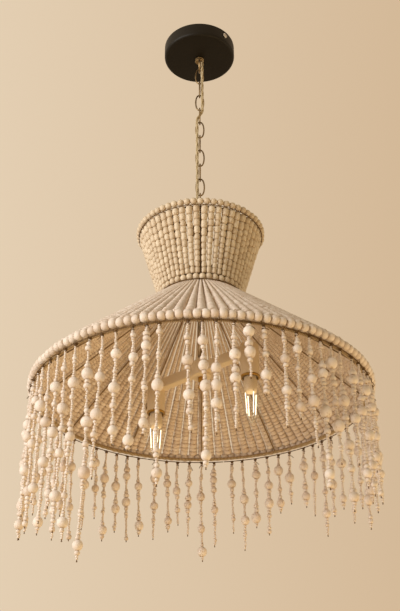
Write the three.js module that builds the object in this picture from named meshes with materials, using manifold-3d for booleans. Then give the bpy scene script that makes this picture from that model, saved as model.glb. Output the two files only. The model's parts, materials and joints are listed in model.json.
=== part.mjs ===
// A beaded chandelier: a black ceiling cup, an oval-link chain with its flex, and a wire shade
// dressed with strings of wooden beads, a two-armed lamp cluster and a hanging bead fringe.
// Millimetres, +Z up, origin on the ceiling at the middle of the mounting bar.
import * as THREE from "three";
import { mergeVertices } from "three/addons/utils/BufferGeometryUtils.js";
import Module from "manifold-3d";

// Clearances
const seatGap = 0.3;
const hookGap = 0.6;
const turnGap = 0.4;
const swingGap = 0.7;
const overrun = 1;

// Ceiling cup
const canopyRadius = 60;
const canopyHeight = 25;
const canopyWall = 1.2;
const canopyEdgeRadius = 5;

// Mounting bar and its side screws
const barWidth = 18;
const barThickness = 2;
const barTabHeight = 16;
const barHoleRadius = 2.6;
const barHolePitch = 70;
const sideScrewDrop = 11;
const sideScrewRadius = 2;
const sideScrewHeadRadius = 4.4;
const sideScrewHeadHeight = 2.6;
const sideScrewLength = 9;
const sideScrewTurn = -44;

// Terminal block under the bar
const blockLength = 24;
const blockWidth = 13;
const blockHeight = 9;
const blockPlace = -20;

// Loops at the two ends of the chain
const loopWire = 3.2;
const loopRadius = 10.5;
const loopSink = 0.6;
const loopShankRadius = 5;
const loopBarrelRadius = 7.5;
const topBarrelLength = 6;
const topShankLength = 14;
const lockNutRadius = 9;
const lockNutHeight = 5;

// Chain
const linkLength = 34.6;
const linkWidth = 15.6;
const linkWire = 2.4;
const linkCount = 10;
const flexDiameter = 5;
const weaveReach = 11;
const weaveStep = 5;

// Swivel eye, stem and spider
const eyeBarrelLength = 20;
const eyeBoreDepth = 14;
const stemRadius = 5;
const stemWall = 1.5;
const hubRadius = 15;
const hubThickness = 2.5;
const spiderNutRadius = 9.5;
const spiderNutHeight = 6;

// Shade rings, measured to the middle of each row of beads
const crownRadius = 94.5;
const crownDrop = 11.4;
const crownHeight = 109;
const crownBead = 9.6;
const waistRadius = 61;
const waistBead = 9.6;
const brimRadius = 239;
const coneHeight = 162;
const brimBead = 11.6;

// Strings of beads that clothe the shade
const crownStrings = 52;
const crownStringTop = 9;
const crownStringFoot = 5.5;
const crownStringInset = 3;
const crownPanels = 4;
const coneStrings = 102;
const coneStringTop = 4;
const coneStringFoot = 12;
const conePanels = 6;
const ridgeShare = 0.25;
const valleyShare = 0.4;
const panelGap = 0.6;
const slotTopShare = 0.86;
const footBand = 3;

// Wire frame
const frameWire = 3;
const brimWire = 3.5;
const ribWire = 2;
const ribCount = 12;
const spokeWire = 3.6;
const spokeCount = 4;
const ribInset = 5;
const ribRoom = 2;

// Fringe
const fringeLength = 283;
const fringeCord = 4;
const fringeSections = 12;
const fringeTurn = -83.5;
const stringRadius = 3;
const bigBead = 15;
const fringeGap = 1.4;

// Lamp cluster
const clusterDrop = 221.5;
const clusterRadius = 14.5;
const clusterHeight = 21;
const clusterEdge = 1.5;
const clusterBoreDepth = 12;
const capHeight = 8;
const capTopRadius = 7.5;
const capFootRadius = 12.5;
const finialLength = 20;
const finialRadius = 4.7;
// Outline of the finial: how far down it is, as a share of its length, and its share of the radius
const finialShares = [
  [1, 0],
  [1, 0.5],
  [0.7, 1],
  [0.4, 0.6],
  [0.25, 1],
  [0, 1],
  [0, 0],
];

// Arms and lampholders
const armTurn = -42;
const armReach = 90;
const armHeight = 16;
const armWidth = 13;
const armEdge = 2;
const socketRadius = 13;
const socketLength = 48;
const socketWall = 2;
const holderDepth = 9;
const bulbNeckDrop = 3;
const holderBoreRadius = 7.6;
const rimHeight = 3;
const rimLip = 0.5;

// Candle bulbs
const bulbRadius = 17.5;
const bulbLength = 82;
const glassWall = 1;
const bulbCapRadius = 7;
const bulbCapLength = 18;
const bulbStemRadius = 3;
const filamentLength = 32;
const filamentRadius = 0.9;
const filamentSpread = 9;
const filamentFootSpread = 6.5;
const filamentDrop = 31;
const filamentTail = 13;
const filamentTurn = 67;

// Outline of the glass: how far down it is, as a share of its length, and its share of the radius
const bulbShares = [
  [0, 0.4],
  [0.05, 0.54],
  [0.13, 0.58],
  [0.22, 0.84],
  [0.36, 1],
  [0.54, 0.95],
  [0.72, 0.75],
  [0.88, 0.46],
  [0.97, 0.22],
];

// Facets round each kind of piece
const cupFacets = 24;
const turnedFacets = 14;
const bulbFacets = 12;
const wireFacets = 5;
const beadRowSteps = { crown: 36, waist: 28, brim: 60 };
const beadRowFacets = { crown: 6, waist: 6, brim: 8 };
const headerFacets = 6;
const loopFacets = 6;
const loopSteps = 18;
const flexFacets = 8;
const hexagon = 6;
const cornerSteps = 2;
const wireSteps = { crown: 24, waist: 24, brim: 48 };
const frameFacets = 4;
const headerSteps = 4;
const stringSides = 4;
const linkSteps = 12;
const flexSteps = 34;

// One row for each hanging string: its bearing in degrees, its length as a share of the longest,
// and how far down its large beads sit, as shares of its own length.
const fringeShares = [
  [-93.8, 0.52, [0.36, 0.7]],
  [-89.6, 0.68, [0.12, 0.31, 0.46, 0.95]],
  [-85.7, 0.53, [0.43, 0.6, 0.77]],
  [-80.4, 0.51, [0.3, 0.54]],
  [-75.8, 0.27, [0.1, 0.56]],
  [-71.4, 0.34, [0.76]],
  [-65.2, 0.47, [0.3, 0.66]],
  [-60.4, 0.42, [0.18, 0.92]],
  [-55.6, 0.53, [0.4, 0.62]],
  [-51.2, 0.7, [0.22, 0.5, 0.94]],
  [-46.4, 0.57, [0.14, 0.72]],
  [-42, 0.76, [0.33, 0.62, 0.95]],
  [-35.4, 0.53, [0.2, 0.6]],
  [-30.6, 0.61, [0.4, 0.93]],
  [-25.8, 0.63, [0.16, 0.55, 0.8]],
  [-21.2, 0.49, [0.35, 0.9]],
  [-16.4, 0.59, [0.5, 0.72]],
  [-11.8, 0.53, [0.24, 0.9]],
  [-5.4, 0.57, [0.32, 0.6]],
  [-0.6, 0.45, [0.18, 0.92]],
  [4.2, 0.56, [0.42, 0.66]],
  [8.8, 0.49, [0.26, 0.9]],
  [13.6, 0.6, [0.5, 0.78]],
  [18.2, 0.47, [0.34]],
  [24.6, 0.52, [0.22, 0.7]],
  [29.4, 0.42, [0.4, 0.92]],
  [34.4, 0.44, [0.3, 0.62]],
  [39.2, 0.53, [0.16, 0.8]],
  [43.8, 0.4, [0.44]],
  [48.2, 0.34, [0.28, 0.88]],
  [54.6, 0.3, [0.5]],
  [59.4, 0.34, [0.24, 0.9]],
  [64.2, 0.45, [0.36, 0.62]],
  [69, 0.4, [0.2, 0.92]],
  [74.2, 0.52, [0.44, 0.7]],
  [78.2, 0.42, [0.3]],
  [85.2, 0.49, [0.18, 0.58]],
  [90, 0.57, [0.34, 0.7, 0.95]],
  [94.8, 0.43, [0.26, 0.6]],
  [99.4, 0.37, [0.46]],
  [103.8, 0.41, [0.3, 0.9]],
  [108.2, 0.46, [0.2, 0.6]],
  [115, 0.45, [0.36, 0.92]],
  [119.6, 0.49, [0.22, 0.56]],
  [124.2, 0.45, [0.42, 0.74]],
  [128.8, 0.51, [0.3, 0.93]],
  [133.4, 0.4, [0.18, 0.6]],
  [138, 0.48, [0.48]],
  [144.8, 0.56, [0.26, 0.7]],
  [149.6, 0.45, [0.38, 0.92]],
  [154.4, 0.59, [0.2, 0.5, 0.76]],
  [159, 0.5, [0.34]],
  [163.6, 0.61, [0.46, 0.93]],
  [168.2, 0.53, [0.22, 0.66]],
  [174.8, 0.65, [0.3, 0.58]],
  [179.6, 0.57, [0.42, 0.94]],
  [184.4, 0.72, [0.2, 0.52, 0.8]],
  [189, 0.62, [0.36, 0.62]],
  [193.6, 0.76, [0.26, 0.56, 0.94]],
  [198.2, 0.67, [0.44, 0.7]],
  [204.8, 0.76, [0.18, 0.48, 0.8]],
  [209.4, 0.66, [0.3, 0.94]],
  [214.8, 0.78, [0.4, 0.66]],
  [219.6, 0.73, [0.22, 0.54, 0.95]],
  [223.6, 0.85, [0.34, 0.6, 0.84]],
  [228.4, 0.9, [0.2, 0.5, 0.94]],
  [234.4, 1, [0.16, 0.4, 0.64, 0.96]],
  [239, 0.67, [0.3, 0.58]],
  [243.8, 0.54, [0.19, 0.52, 0.92]],
  [249.4, 0.58, [0.24, 0.96]],
  [253.8, 0.52, [0.17, 0.94]],
  [257.6, 0.74, [0.4, 0.96]],
];

const wasm = await Module();
wasm.setup();

const radians = THREE.MathUtils.degToRad;
const chandelier = new THREE.Group();

const finishes = {
  black: new THREE.MeshStandardMaterial({ color: 0x23201e, roughness: 0.55, metalness: 0.4 }),
  steel: new THREE.MeshStandardMaterial({ color: 0xb9b7b0, roughness: 0.35, metalness: 0.9 }),
  brass: new THREE.MeshStandardMaterial({ color: 0xb98a3c, roughness: 0.35, metalness: 0.9 }),
  agedBrass: new THREE.MeshStandardMaterial({ color: 0xa58a63, roughness: 0.45, metalness: 0.8 }),
  flex: new THREE.MeshStandardMaterial({ color: 0xcdb58f, roughness: 0.9, metalness: 0 }),
  wire: new THREE.MeshStandardMaterial({ color: 0x5b4632, roughness: 0.6, metalness: 0.6 }),
  bead: new THREE.MeshStandardMaterial({ color: 0xd8bfa2, roughness: 0.8, metalness: 0 }),
  cluster: new THREE.MeshStandardMaterial({ color: 0xcdb48c, roughness: 0.6, metalness: 0 }),
  glass: new THREE.MeshStandardMaterial({
    color: 0xfff4e0,
    roughness: 0.05,
    metalness: 0,
    transparent: true,
    opacity: 0.35,
  }),
  filament: new THREE.MeshStandardMaterial({ color: 0xfff0cf, roughness: 0.5, metalness: 0 }),
};

// Joins and cuts

function solid(geometry) {
  const bare = geometry.index ? geometry.toNonIndexed() : geometry.clone();
  bare.deleteAttribute("normal");
  bare.deleteAttribute("uv");
  const merged = mergeVertices(bare, 1e-4);
  return new wasm.Manifold(
    new wasm.Mesh({
      numProp: 3,
      vertProperties: merged.attributes.position.array,
      triVerts: new Uint32Array(merged.index.array),
    }),
  );
}

function shell(manifold) {
  const mesh = manifold.getMesh();
  const geometry = new THREE.BufferGeometry();
  geometry.setAttribute("position", new THREE.BufferAttribute(mesh.vertProperties, 3));
  geometry.setIndex(new THREE.BufferAttribute(mesh.triVerts, 1));
  geometry.computeVertexNormals();
  return geometry;
}

function joined(...geometries) {
  return shell(geometries.map(solid).reduce((whole, next) => whole.add(next)));
}

function cut(geometry, ...tools) {
  return shell(tools.map(solid).reduce((whole, next) => whole.subtract(next), solid(geometry)));
}

function piece(parent, name, geometry, finish) {
  const mesh = new THREE.Mesh(geometry, finish);
  mesh.name = name;
  parent.add(mesh);
  return mesh;
}

// Shapes

// A turned piece about Z. The profile is [radius, height] pairs that run up the outside.
function turned(profile, facets = turnedFacets) {
  const points = profile.map(([r, z]) => new THREE.Vector2(r, z));
  return new THREE.LatheGeometry(points, facets).rotateX(Math.PI / 2);
}

// A turned piece with a bore: its profile closes on itself.
function turnedRing(profile, facets = turnedFacets) {
  return turned([...profile, profile[0]], facets);
}

function rod(radius, from, to, facets = turnedFacets) {
  return turned([[0, from], [radius, from], [radius, to], [0, to]], facets);
}

function ring(radius, wire, z, steps, facets = wireFacets) {
  return new THREE.TorusGeometry(radius, wire / 2, facets, steps).translate(0, 0, z);
}

function polygon(radius, sides) {
  const corners = [];
  for (let i = 0; i < sides; i++) {
    const a = (2 * Math.PI * i) / sides;
    corners.push(new THREE.Vector2(radius * Math.cos(a), radius * Math.sin(a)));
  }
  return new THREE.Shape(corners);
}

// A route through corner points, stepped from one to the next.
class Route extends THREE.Curve {
  constructor(points) {
    super();
    this.points = points;
  }
  getPoint(t) {
    const last = this.points.length - 1;
    const i = Math.min(Math.floor(t * last), last - 1);
    return this.points[i].clone().lerp(this.points[i + 1], t * last - i);
  }
  getUtoTmapping(u) {
    return u;
  }
}

function rodThrough(points, diameter, sides = wireFacets) {
  return new THREE.ExtrudeGeometry(polygon(diameter / 2, sides), {
    steps: points.length - 1,
    extrudePath: new Route(points),
    bevelEnabled: false,
  });
}

// Places on the shade, as a radius, a height and a bearing in degrees
function at(radius, z, bearing) {
  const a = radians(bearing);
  return new THREE.Vector3(radius * Math.cos(a), radius * Math.sin(a), z);
}

// A line in the plane of radius and height, from one row of beads to the next
function slope(from, to) {
  const along = new THREE.Vector2().subVectors(to, from).normalize();
  return { along, out: new THREE.Vector2(-along.y, along.x) };
}

function step(point, direction, length) {
  return point.clone().addScaledVector(direction, length);
}

// A panel of strings side by side, laid along its slope. Each string is a six-sided column that
// shares its thin edges with the next one.
function stringPanel(top, foot, out, thickTop, thickFoot, strings, from, to) {
  const inset = panelGap / 2 / Math.min(top.x, foot.x);
  const edges = [0, ridgeShare, 1 - ridgeShare];
  const columns = edges.length * strings;
  const geometry = new THREE.BoxGeometry(1, 1, 1, columns);
  const place = geometry.attributes.position;
  for (let i = 0; i < place.count; i++) {
    const column = Math.round((place.getX(i) + 0.5) * columns);
    const edge = column % edges.length;
    const across = (Math.floor(column / edges.length) + edges[edge]) / strings;
    const up = place.getZ(i) + 0.5;
    const depth = place.getY(i) * (edge === 0 ? valleyShare : 1);
    const thick = THREE.MathUtils.lerp(thickFoot, thickTop, up);
    const middle = foot.clone().lerp(top, up).addScaledVector(out, depth * thick);
    const bearing = THREE.MathUtils.lerp(to - inset, from + inset, across);
    place.setXYZ(i, middle.x * Math.cos(bearing), middle.x * Math.sin(bearing), middle.y);
  }
  return geometry;
}

// The opening between two strings that part on the way down: a wedge with its tip at the top
function stringSlot(tip, foot, { along, out }, thick, wide, bearing) {
  const corners = [[0, tip.distanceTo(foot)], [-wide / 2, 0], [wide / 2, 0]];
  const wedge = new THREE.Shape(corners.map(([x, y]) => new THREE.Vector2(x, y)));
  const up = at(along.x, along.y, bearing);
  const outward = at(out.x, out.y, bearing);
  const across = new THREE.Vector3().crossVectors(up, outward);
  const start = step(foot, out, -thick / 2);
  const place = new THREE.Matrix4().makeBasis(across, up, outward);
  place.setPosition(at(start.x, start.y, bearing));
  return new THREE.ExtrudeGeometry(wedge, { depth: thick, bevelEnabled: false }).applyMatrix4(place);
}

// Ceiling cup, with its bar, screws and terminal block

const cupFloor = -canopyHeight;

function cupProfile() {
  const outside = [];
  const inside = [];
  const innerEdge = canopyEdgeRadius - canopyWall;
  for (let i = 0; i <= cornerSteps; i++) {
    const a = (Math.PI / 2) * (i / cornerSteps);
    const x = canopyRadius - canopyEdgeRadius;
    const z = cupFloor + canopyEdgeRadius;
    outside.push([x + canopyEdgeRadius * Math.sin(a), z - canopyEdgeRadius * Math.cos(a)]);
    inside.unshift([x + innerEdge * Math.sin(a), z - innerEdge * Math.cos(a)]);
  }
  const bore = loopShankRadius + turnGap;
  return [
    [bore, cupFloor],
    ...outside,
    [canopyRadius, 0],
    [canopyRadius - canopyWall, 0],
    ...inside,
    [bore, cupFloor + canopyWall],
  ];
}

const bracket = new THREE.Group();
bracket.rotation.z = radians(sideScrewTurn);
chandelier.add(bracket);

const screwHole = (radius, reach) =>
  new THREE.CylinderGeometry(radius, radius, reach, turnedFacets)
    .rotateZ(Math.PI / 2)
    .translate(0, 0, -sideScrewDrop);
const cup = cut(
  turnedRing(cupProfile(), cupFacets),
  screwHole(sideScrewRadius + seatGap, 2 * canopyRadius + 2 * overrun),
);
piece(bracket, "canopy", cup, finishes.black);

const tabFace = Math.sqrt((canopyRadius - canopyWall - seatGap) ** 2 - (barWidth / 2) ** 2) - seatGap;
const tab = (side) =>
  new THREE.BoxGeometry(barThickness, barWidth, barTabHeight).translate(
    side * (tabFace - barThickness / 2),
    0,
    -barTabHeight / 2,
  );
const barHole = (side) =>
  rod(barHoleRadius, -barThickness - overrun, overrun).translate((side * barHolePitch) / 2, 0, 0);
const bar = joined(
  new THREE.BoxGeometry(2 * tabFace, barWidth, barThickness).translate(0, 0, -barThickness / 2),
  tab(1),
  tab(-1),
);
piece(
  bracket,
  "mounting_bar",
  cut(bar, barHole(1), barHole(-1), screwHole(sideScrewRadius + seatGap, 2 * canopyRadius)),
  finishes.steel,
);

function sideScrew() {
  const head = sideScrewHeadHeight;
  return turned([
    [0, -sideScrewLength],
    [sideScrewRadius, -sideScrewLength],
    [sideScrewRadius, 0],
    [sideScrewHeadRadius, 0],
    [sideScrewHeadRadius, head / 2],
    [sideScrewHeadRadius / 2, head],
    [0, head],
  ]).rotateY(Math.PI / 2);
}

for (const [name, turn] of [["side_screw_right", 0], ["side_screw_left", Math.PI]]) {
  const screw = piece(bracket, name, sideScrew(), finishes.steel);
  screw.rotation.z = turn;
  screw.position.set(
    (canopyRadius + seatGap) * Math.cos(turn),
    (canopyRadius + seatGap) * Math.sin(turn),
    -sideScrewDrop,
  );
}

const block = new THREE.BoxGeometry(blockLength, blockWidth, blockHeight);
const blockLevel = -barThickness - seatGap - blockHeight / 2;
piece(bracket, "terminal_block", block, finishes.cluster).position.set(blockPlace, 0, blockLevel);

// Top loop, screwed through the cup's floor

const loopRing = () => new THREE.TorusGeometry(loopRadius, loopWire / 2, loopFacets, loopSteps);
const topBarrel = cupFloor - seatGap;
const topRing = topBarrel - topBarrelLength - loopRadius + loopSink;
const loop = joined(
  turned([
    [0, topBarrel - topBarrelLength],
    [loopBarrelRadius, topBarrel - topBarrelLength],
    [loopBarrelRadius, topBarrel],
    [loopShankRadius, topBarrel],
    [loopShankRadius, topBarrel + topShankLength],
    [0, topBarrel + topShankLength],
  ]),
  loopRing().rotateY(Math.PI / 2).translate(0, 0, topRing),
);
piece(chandelier, "canopy_loop", loop, finishes.agedBrass);

const nutFoot = cupFloor + canopyWall + seatGap;
const nut = (outer, bore, foot, height) =>
  cut(rod(outer, foot, foot + height, hexagon), rod(bore, foot - overrun, foot + height + overrun));
piece(
  chandelier,
  "canopy_nut",
  nut(lockNutRadius, loopShankRadius + turnGap, nutFoot, lockNutHeight),
  finishes.steel,
);

// Chain: each link is a wire ring pulled out long, and hooks through the one above

const linkBend = (linkWidth - linkWire) / 2;
const linkHalf = (linkLength - linkWire) / 2;
const linkPitch = linkLength - 2 * linkWire - hookGap;
const hook = (loopWire + linkWire) / 2 + hookGap;
const topHook = topRing - loopRadius;
const firstLink = topHook + hook - linkHalf;

function linkShape() {
  const link = new THREE.TorusGeometry(linkBend, linkWire / 2, wireFacets, linkSteps);
  link.rotateZ(Math.PI / linkSteps).rotateX(Math.PI / 2);
  const place = link.attributes.position;
  for (let i = 0; i < place.count; i++)
    place.setZ(i, place.getZ(i) + Math.sign(place.getZ(i)) * (linkHalf - linkBend));
  return link;
}

for (let i = 0; i < linkCount; i++) {
  const name = "chain_link_" + String(i + 1).padStart(2, "0");
  const link = piece(chandelier, name, linkShape(), finishes.agedBrass);
  link.rotation.z = i % 2 ? Math.PI / 2 : 0;
  link.position.z = firstLink - i * linkPitch;
}

// Swivel eye under the chain

const lastHook = firstLink - (linkCount - 1) * linkPitch - linkHalf;
const eyeRing = lastHook + hook - loopRadius;
const eyeTop = eyeRing - loopRadius + loopSink;
const eyeFoot = eyeTop - eyeBarrelLength;
const eyeBore = stemRadius + turnGap;
const eye = joined(
  turned([
    [0, eyeFoot + eyeBoreDepth],
    [eyeBore, eyeFoot + eyeBoreDepth],
    [eyeBore, eyeFoot],
    [loopBarrelRadius, eyeFoot],
    [loopBarrelRadius, eyeTop],
    [0, eyeTop],
  ]),
  loopRing().rotateX(Math.PI / 2).translate(0, 0, eyeRing),
);
piece(chandelier, "hub_eye", eye, finishes.agedBrass);

// Flex: down one side of the chain, through the fourth link, down the other side to the eye

const flexSide = 4.4;
const flexEye = 4.7;
const weaveLink = firstLink - 3 * linkPitch;
const flexRoute = [
  [flexEye, -1.2, topBarrel - topBarrelLength - seatGap],
  [flexEye, -1.8, -36],
  [flexEye, -3.4, -42],
  [flexSide, -flexSide, -50],
  [flexSide, -flexSide, -70],
  [flexSide, -flexSide, -95],
  [flexSide, -flexSide, -120],
  [flexSide, -flexSide, weaveLink + weaveReach],
  [2.7, -2.9, weaveLink + weaveStep],
  [0, -1.8, weaveLink],
  [-2.7, -2.9, weaveLink - weaveStep],
  [-flexSide, -flexSide, weaveLink - weaveReach],
  [-flexSide, -flexSide, -185],
  [-flexSide, -flexSide, -210],
  [-flexSide, -flexSide, -235],
  [-flexSide, -flexSide, -260],
  [-flexSide, -flexSide, -285],
  [-flexSide, -flexSide, -310],
  [-flexSide, -flexSide, -330],
  [-3.6, -flexEye, -342],
  [-1.4, -flexEye, -352],
  [-0.4, -flexEye, -357],
  [0, -flexEye, eyeTop + seatGap],
].map(([x, y, z]) => new THREE.Vector3(x, y, z));
const flex = new THREE.ExtrudeGeometry(polygon(flexDiameter / 2, flexFacets), {
  steps: flexSteps,
  extrudePath: new THREE.CatmullRomCurve3(flexRoute),
  bevelEnabled: false,
});
piece(chandelier, "flex", flex, finishes.flex);

// Rows of beads round the crown, the waist and the brim

const hubTop = eyeFoot - seatGap;
const hubFoot = hubTop - hubThickness;
const crownRow = new THREE.Vector2(crownRadius, hubTop - crownDrop);
const waistRow = new THREE.Vector2(waistRadius, crownRow.y - crownHeight);
const brimRow = new THREE.Vector2(brimRadius, waistRow.y - coneHeight);
const rows = [
  ["crown_beads", crownRow, crownBead, beadRowSteps.crown, beadRowFacets.crown],
  ["waist_beads", waistRow, waistBead, beadRowSteps.waist, beadRowFacets.waist],
  ["brim_beads", brimRow, brimBead, beadRowSteps.brim, beadRowFacets.brim],
];
for (const [name, row, bead, steps, facets] of rows)
  piece(chandelier, name, ring(row.x, bead, row.y, steps, facets), finishes.bead);

// Strings from the crown row to the waist row, and from there to the brim row

const crownSlope = slope(waistRow, crownRow);
crownSlope.out.negate();
const coneSlope = slope(brimRow, waistRow);
coneSlope.out.negate();
const underCrown = step(crownRow, crownSlope.along, -crownBead / 2 - seatGap);
const crownTop = step(underCrown, crownSlope.out, -crownStringInset);
const crownFoot = step(waistRow, crownSlope.along, waistBead / 2 + seatGap);
const coneTop = new THREE.Vector2(waistRow.x, waistRow.y - (waistBead + coneStringTop) / 2);
const coneFoot = step(brimRow, coneSlope.along, brimBead / 2 + seatGap);

for (let i = 0; i < crownPanels; i++) {
  const arc = (2 * Math.PI) / crownPanels;
  const panel = stringPanel(
    crownTop,
    crownFoot,
    crownSlope.out,
    crownStringTop,
    crownStringFoot,
    crownStrings / crownPanels,
    i * arc,
    (i + 1) * arc,
  );
  piece(chandelier, "crown_strings_" + (i + 1), panel, finishes.bead);
}

const slotTop = coneFoot.clone().lerp(coneTop, slotTopShare);
const slotFoot = step(coneFoot, coneSlope.along, footBand);
const slotWidth = (2 * Math.PI * coneFoot.x) / coneStrings - coneStringFoot;
for (let i = 0; i < conePanels; i++) {
  const arc = (2 * Math.PI) / conePanels;
  const strings = coneStrings / conePanels;
  const panel = stringPanel(
    coneTop,
    coneFoot,
    coneSlope.out,
    coneStringTop,
    coneStringFoot,
    strings,
    i * arc,
    (i + 1) * arc,
  );
  const slots = [];
  for (let k = 1; k < strings; k++) {
    const bearing = (360 * (i * strings + k)) / coneStrings;
    slots.push(stringSlot(slotTop, slotFoot, coneSlope, coneStringFoot, slotWidth, bearing));
  }
  piece(chandelier, "cone_strings_" + (i + 1), cut(panel, ...slots), finishes.bead);
}

// Wire frame: three rings, ribs inside the strings, and a spider that carries it on the stem

const behind = (point, out, thick, wire) => step(point, out, -(thick + wire) / 2 - turnGap);
const crownWire = behind(crownTop, crownSlope.out, crownStringTop, frameWire);
const waistWire = behind(crownFoot, crownSlope.out, crownStringFoot, frameWire);
const neck = new THREE.Vector2(waistRow.x - waistBead / 2 - ribWire / 2 - ribRoom, waistRow.y);
const belowWaist = step(coneTop, coneSlope.along, -ribInset);
const shoulder = behind(belowWaist, coneSlope.out, coneStringTop, ribWire + 2 * ribInset);
const inAndDown = new THREE.Vector2(-1, -1).normalize();
const brimRing = step(brimRow, inAndDown, (brimBead + brimWire) / 2 + turnGap);
const ribPath = [crownWire, waistWire, neck, shoulder, brimRing];
const frameSolids = [
  ring(crownWire.x, frameWire, crownWire.y, wireSteps.crown, frameFacets),
  ring(waistWire.x, frameWire, waistWire.y, wireSteps.waist, frameFacets),
  ring(brimRing.x, brimWire, brimRing.y, wireSteps.brim, frameFacets),
  turnedRing([
    [stemRadius + turnGap, hubFoot],
    [hubRadius, hubFoot],
    [hubRadius, hubTop],
    [stemRadius + turnGap, hubTop],
  ]),
];
for (let i = 0; i < ribCount; i++) {
  const bearing = (360 * i) / ribCount;
  frameSolids.push(rodThrough(ribPath.map((p) => at(p.x, p.y, bearing)), ribWire, frameFacets));
}
for (let i = 0; i < spokeCount; i++) {
  const bearing = (360 * (i + 0.5)) / spokeCount;
  const level = (hubTop + hubFoot) / 2;
  const spoke = [at(hubRadius - spokeWire, level, bearing), at(crownWire.x, crownWire.y, bearing)];
  frameSolids.push(rodThrough(spoke, spokeWire, hexagon));
}
piece(chandelier, "shade_frame", joined(...frameSolids), finishes.wire);

piece(
  chandelier,
  "spider_nut",
  nut(spiderNutRadius, stemRadius + turnGap, hubFoot - seatGap - spiderNutHeight, spiderNutHeight),
  finishes.agedBrass,
);

// Stem, a tube for the flex, from the eye down to the cluster

const clusterTop = crownRow.y - clusterDrop;
const stemTop = eyeFoot + eyeBoreDepth - seatGap;
const stemFoot = clusterTop - clusterBoreDepth + seatGap;
const stem = turnedRing([
  [stemRadius - stemWall, stemFoot],
  [stemRadius, stemFoot],
  [stemRadius, stemTop],
  [stemRadius - stemWall, stemTop],
]);
piece(chandelier, "stem", stem, finishes.agedBrass);

// Lamp cluster

const cluster = new THREE.Group();
cluster.position.z = clusterTop;
cluster.rotation.z = radians(armTurn);
chandelier.add(cluster);

const stemBore = stemRadius + turnGap;
piece(
  cluster,
  "cluster_cap",
  turnedRing([
    [stemBore, seatGap],
    [capFootRadius, seatGap],
    [capFootRadius, capHeight / 3],
    [capTopRadius, capHeight],
    [stemBore, capHeight],
  ]),
  finishes.cluster,
);
piece(
  cluster,
  "cluster_body",
  turned([
    [0, -clusterHeight],
    [clusterRadius - clusterEdge, -clusterHeight],
    [clusterRadius, -clusterHeight + clusterEdge],
    [clusterRadius, 0],
    [stemBore, 0],
    [stemBore, -clusterBoreDepth],
    [0, -clusterBoreDepth],
  ]),
  finishes.cluster,
);
const finialTop = -clusterHeight - seatGap;
piece(
  cluster,
  "finial",
  turned([
    ...finialShares.map(([down, out]) => [out * finialRadius, finialTop - down * finialLength]),
  ]),
  finishes.brass,
);

const holderRoof = -socketLength + holderDepth;
const bulbTop = holderRoof - bulbNeckDrop;
const boreRoof = bulbTop + bulbCapLength + 2 * seatGap;
const rimTop = -socketLength - seatGap;

// An arm is a flat bar with rounded edges that ends in the cup round the lampholder.
function armShape() {
  const wide = armWidth / 2;
  const high = armHeight / 2;
  const section = new THREE.Shape([
    new THREE.Vector2(-wide + armEdge, -high),
    new THREE.Vector2(wide - armEdge, -high),
    new THREE.Vector2(wide, -high + armEdge),
    new THREE.Vector2(wide, high - armEdge),
    new THREE.Vector2(wide - armEdge, high),
    new THREE.Vector2(-wide + armEdge, high),
    new THREE.Vector2(-wide, high - armEdge),
    new THREE.Vector2(-wide, -high + armEdge),
  ]);
  const beam = new THREE.ExtrudeGeometry(section, { depth: armReach, steps: 1, bevelEnabled: false });
  beam.rotateX(Math.PI / 2).rotateZ(Math.PI / 2).translate(0, 0, -high);
  const drum = rod(clusterRadius + seatGap, -clusterHeight - overrun, overrun, cupFacets);
  const holder = turned([
    [0, boreRoof],
    [holderBoreRadius, boreRoof],
    [holderBoreRadius, holderRoof],
    [socketRadius - socketWall, holderRoof],
    [socketRadius - socketWall, -socketLength],
    [socketRadius, -socketLength],
    [socketRadius, -clusterEdge],
    [socketRadius - clusterEdge, 0],
    [0, 0],
  ]).translate(armReach, 0, 0);
  return shell(solid(beam).subtract(solid(drum)).add(solid(holder)));
}

// Clear candle bulb, open at its neck, where the screw cap closes it
function bulbShape() {
  const outline = bulbShares.map(([down, out]) => [out * bulbRadius, -down * bulbLength]);
  const inside = outline.map(([r, z]) => [r - glassWall, z]);
  return turned(
    [[0, -bulbLength], ...outline.reverse(), ...inside, [0, glassWall - bulbLength]],
    bulbFacets,
  );
}

// Glass stem with a disc of wires, four glowing strips and the wires that gather under them
function filamentShape() {
  const foot = -filamentDrop - filamentLength;
  const disc = filamentSpread + filamentRadius;
  const stemAndDisc = turned(
    [
      [0, -filamentDrop - filamentRadius],
      [disc, -filamentDrop - filamentRadius],
      [disc, -filamentDrop + filamentRadius],
      [bulbStemRadius, -filamentDrop + disc],
      [bulbStemRadius, 0],
      [0, 0],
    ],
    bulbFacets,
  );
  const strips = [0, 90, 180, 270].map((quarter) => {
    const bearing = filamentTurn + quarter;
    const top = at(filamentSpread, -filamentDrop, bearing);
    const route = [top, at(filamentFootSpread, foot, bearing), at(0, foot - filamentTail, bearing)];
    return rodThrough(route, 2 * filamentRadius, stringSides);
  });
  return joined(stemAndDisc, ...strips);
}

function bulbCapShape() {
  return turned(
    [
      [0, seatGap],
      [bulbCapRadius, seatGap],
      [bulbCapRadius, bulbCapLength - bulbCapRadius / 2],
      [bulbCapRadius / 2, bulbCapLength],
      [0, bulbCapLength],
    ],
    bulbFacets,
  );
}

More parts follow.
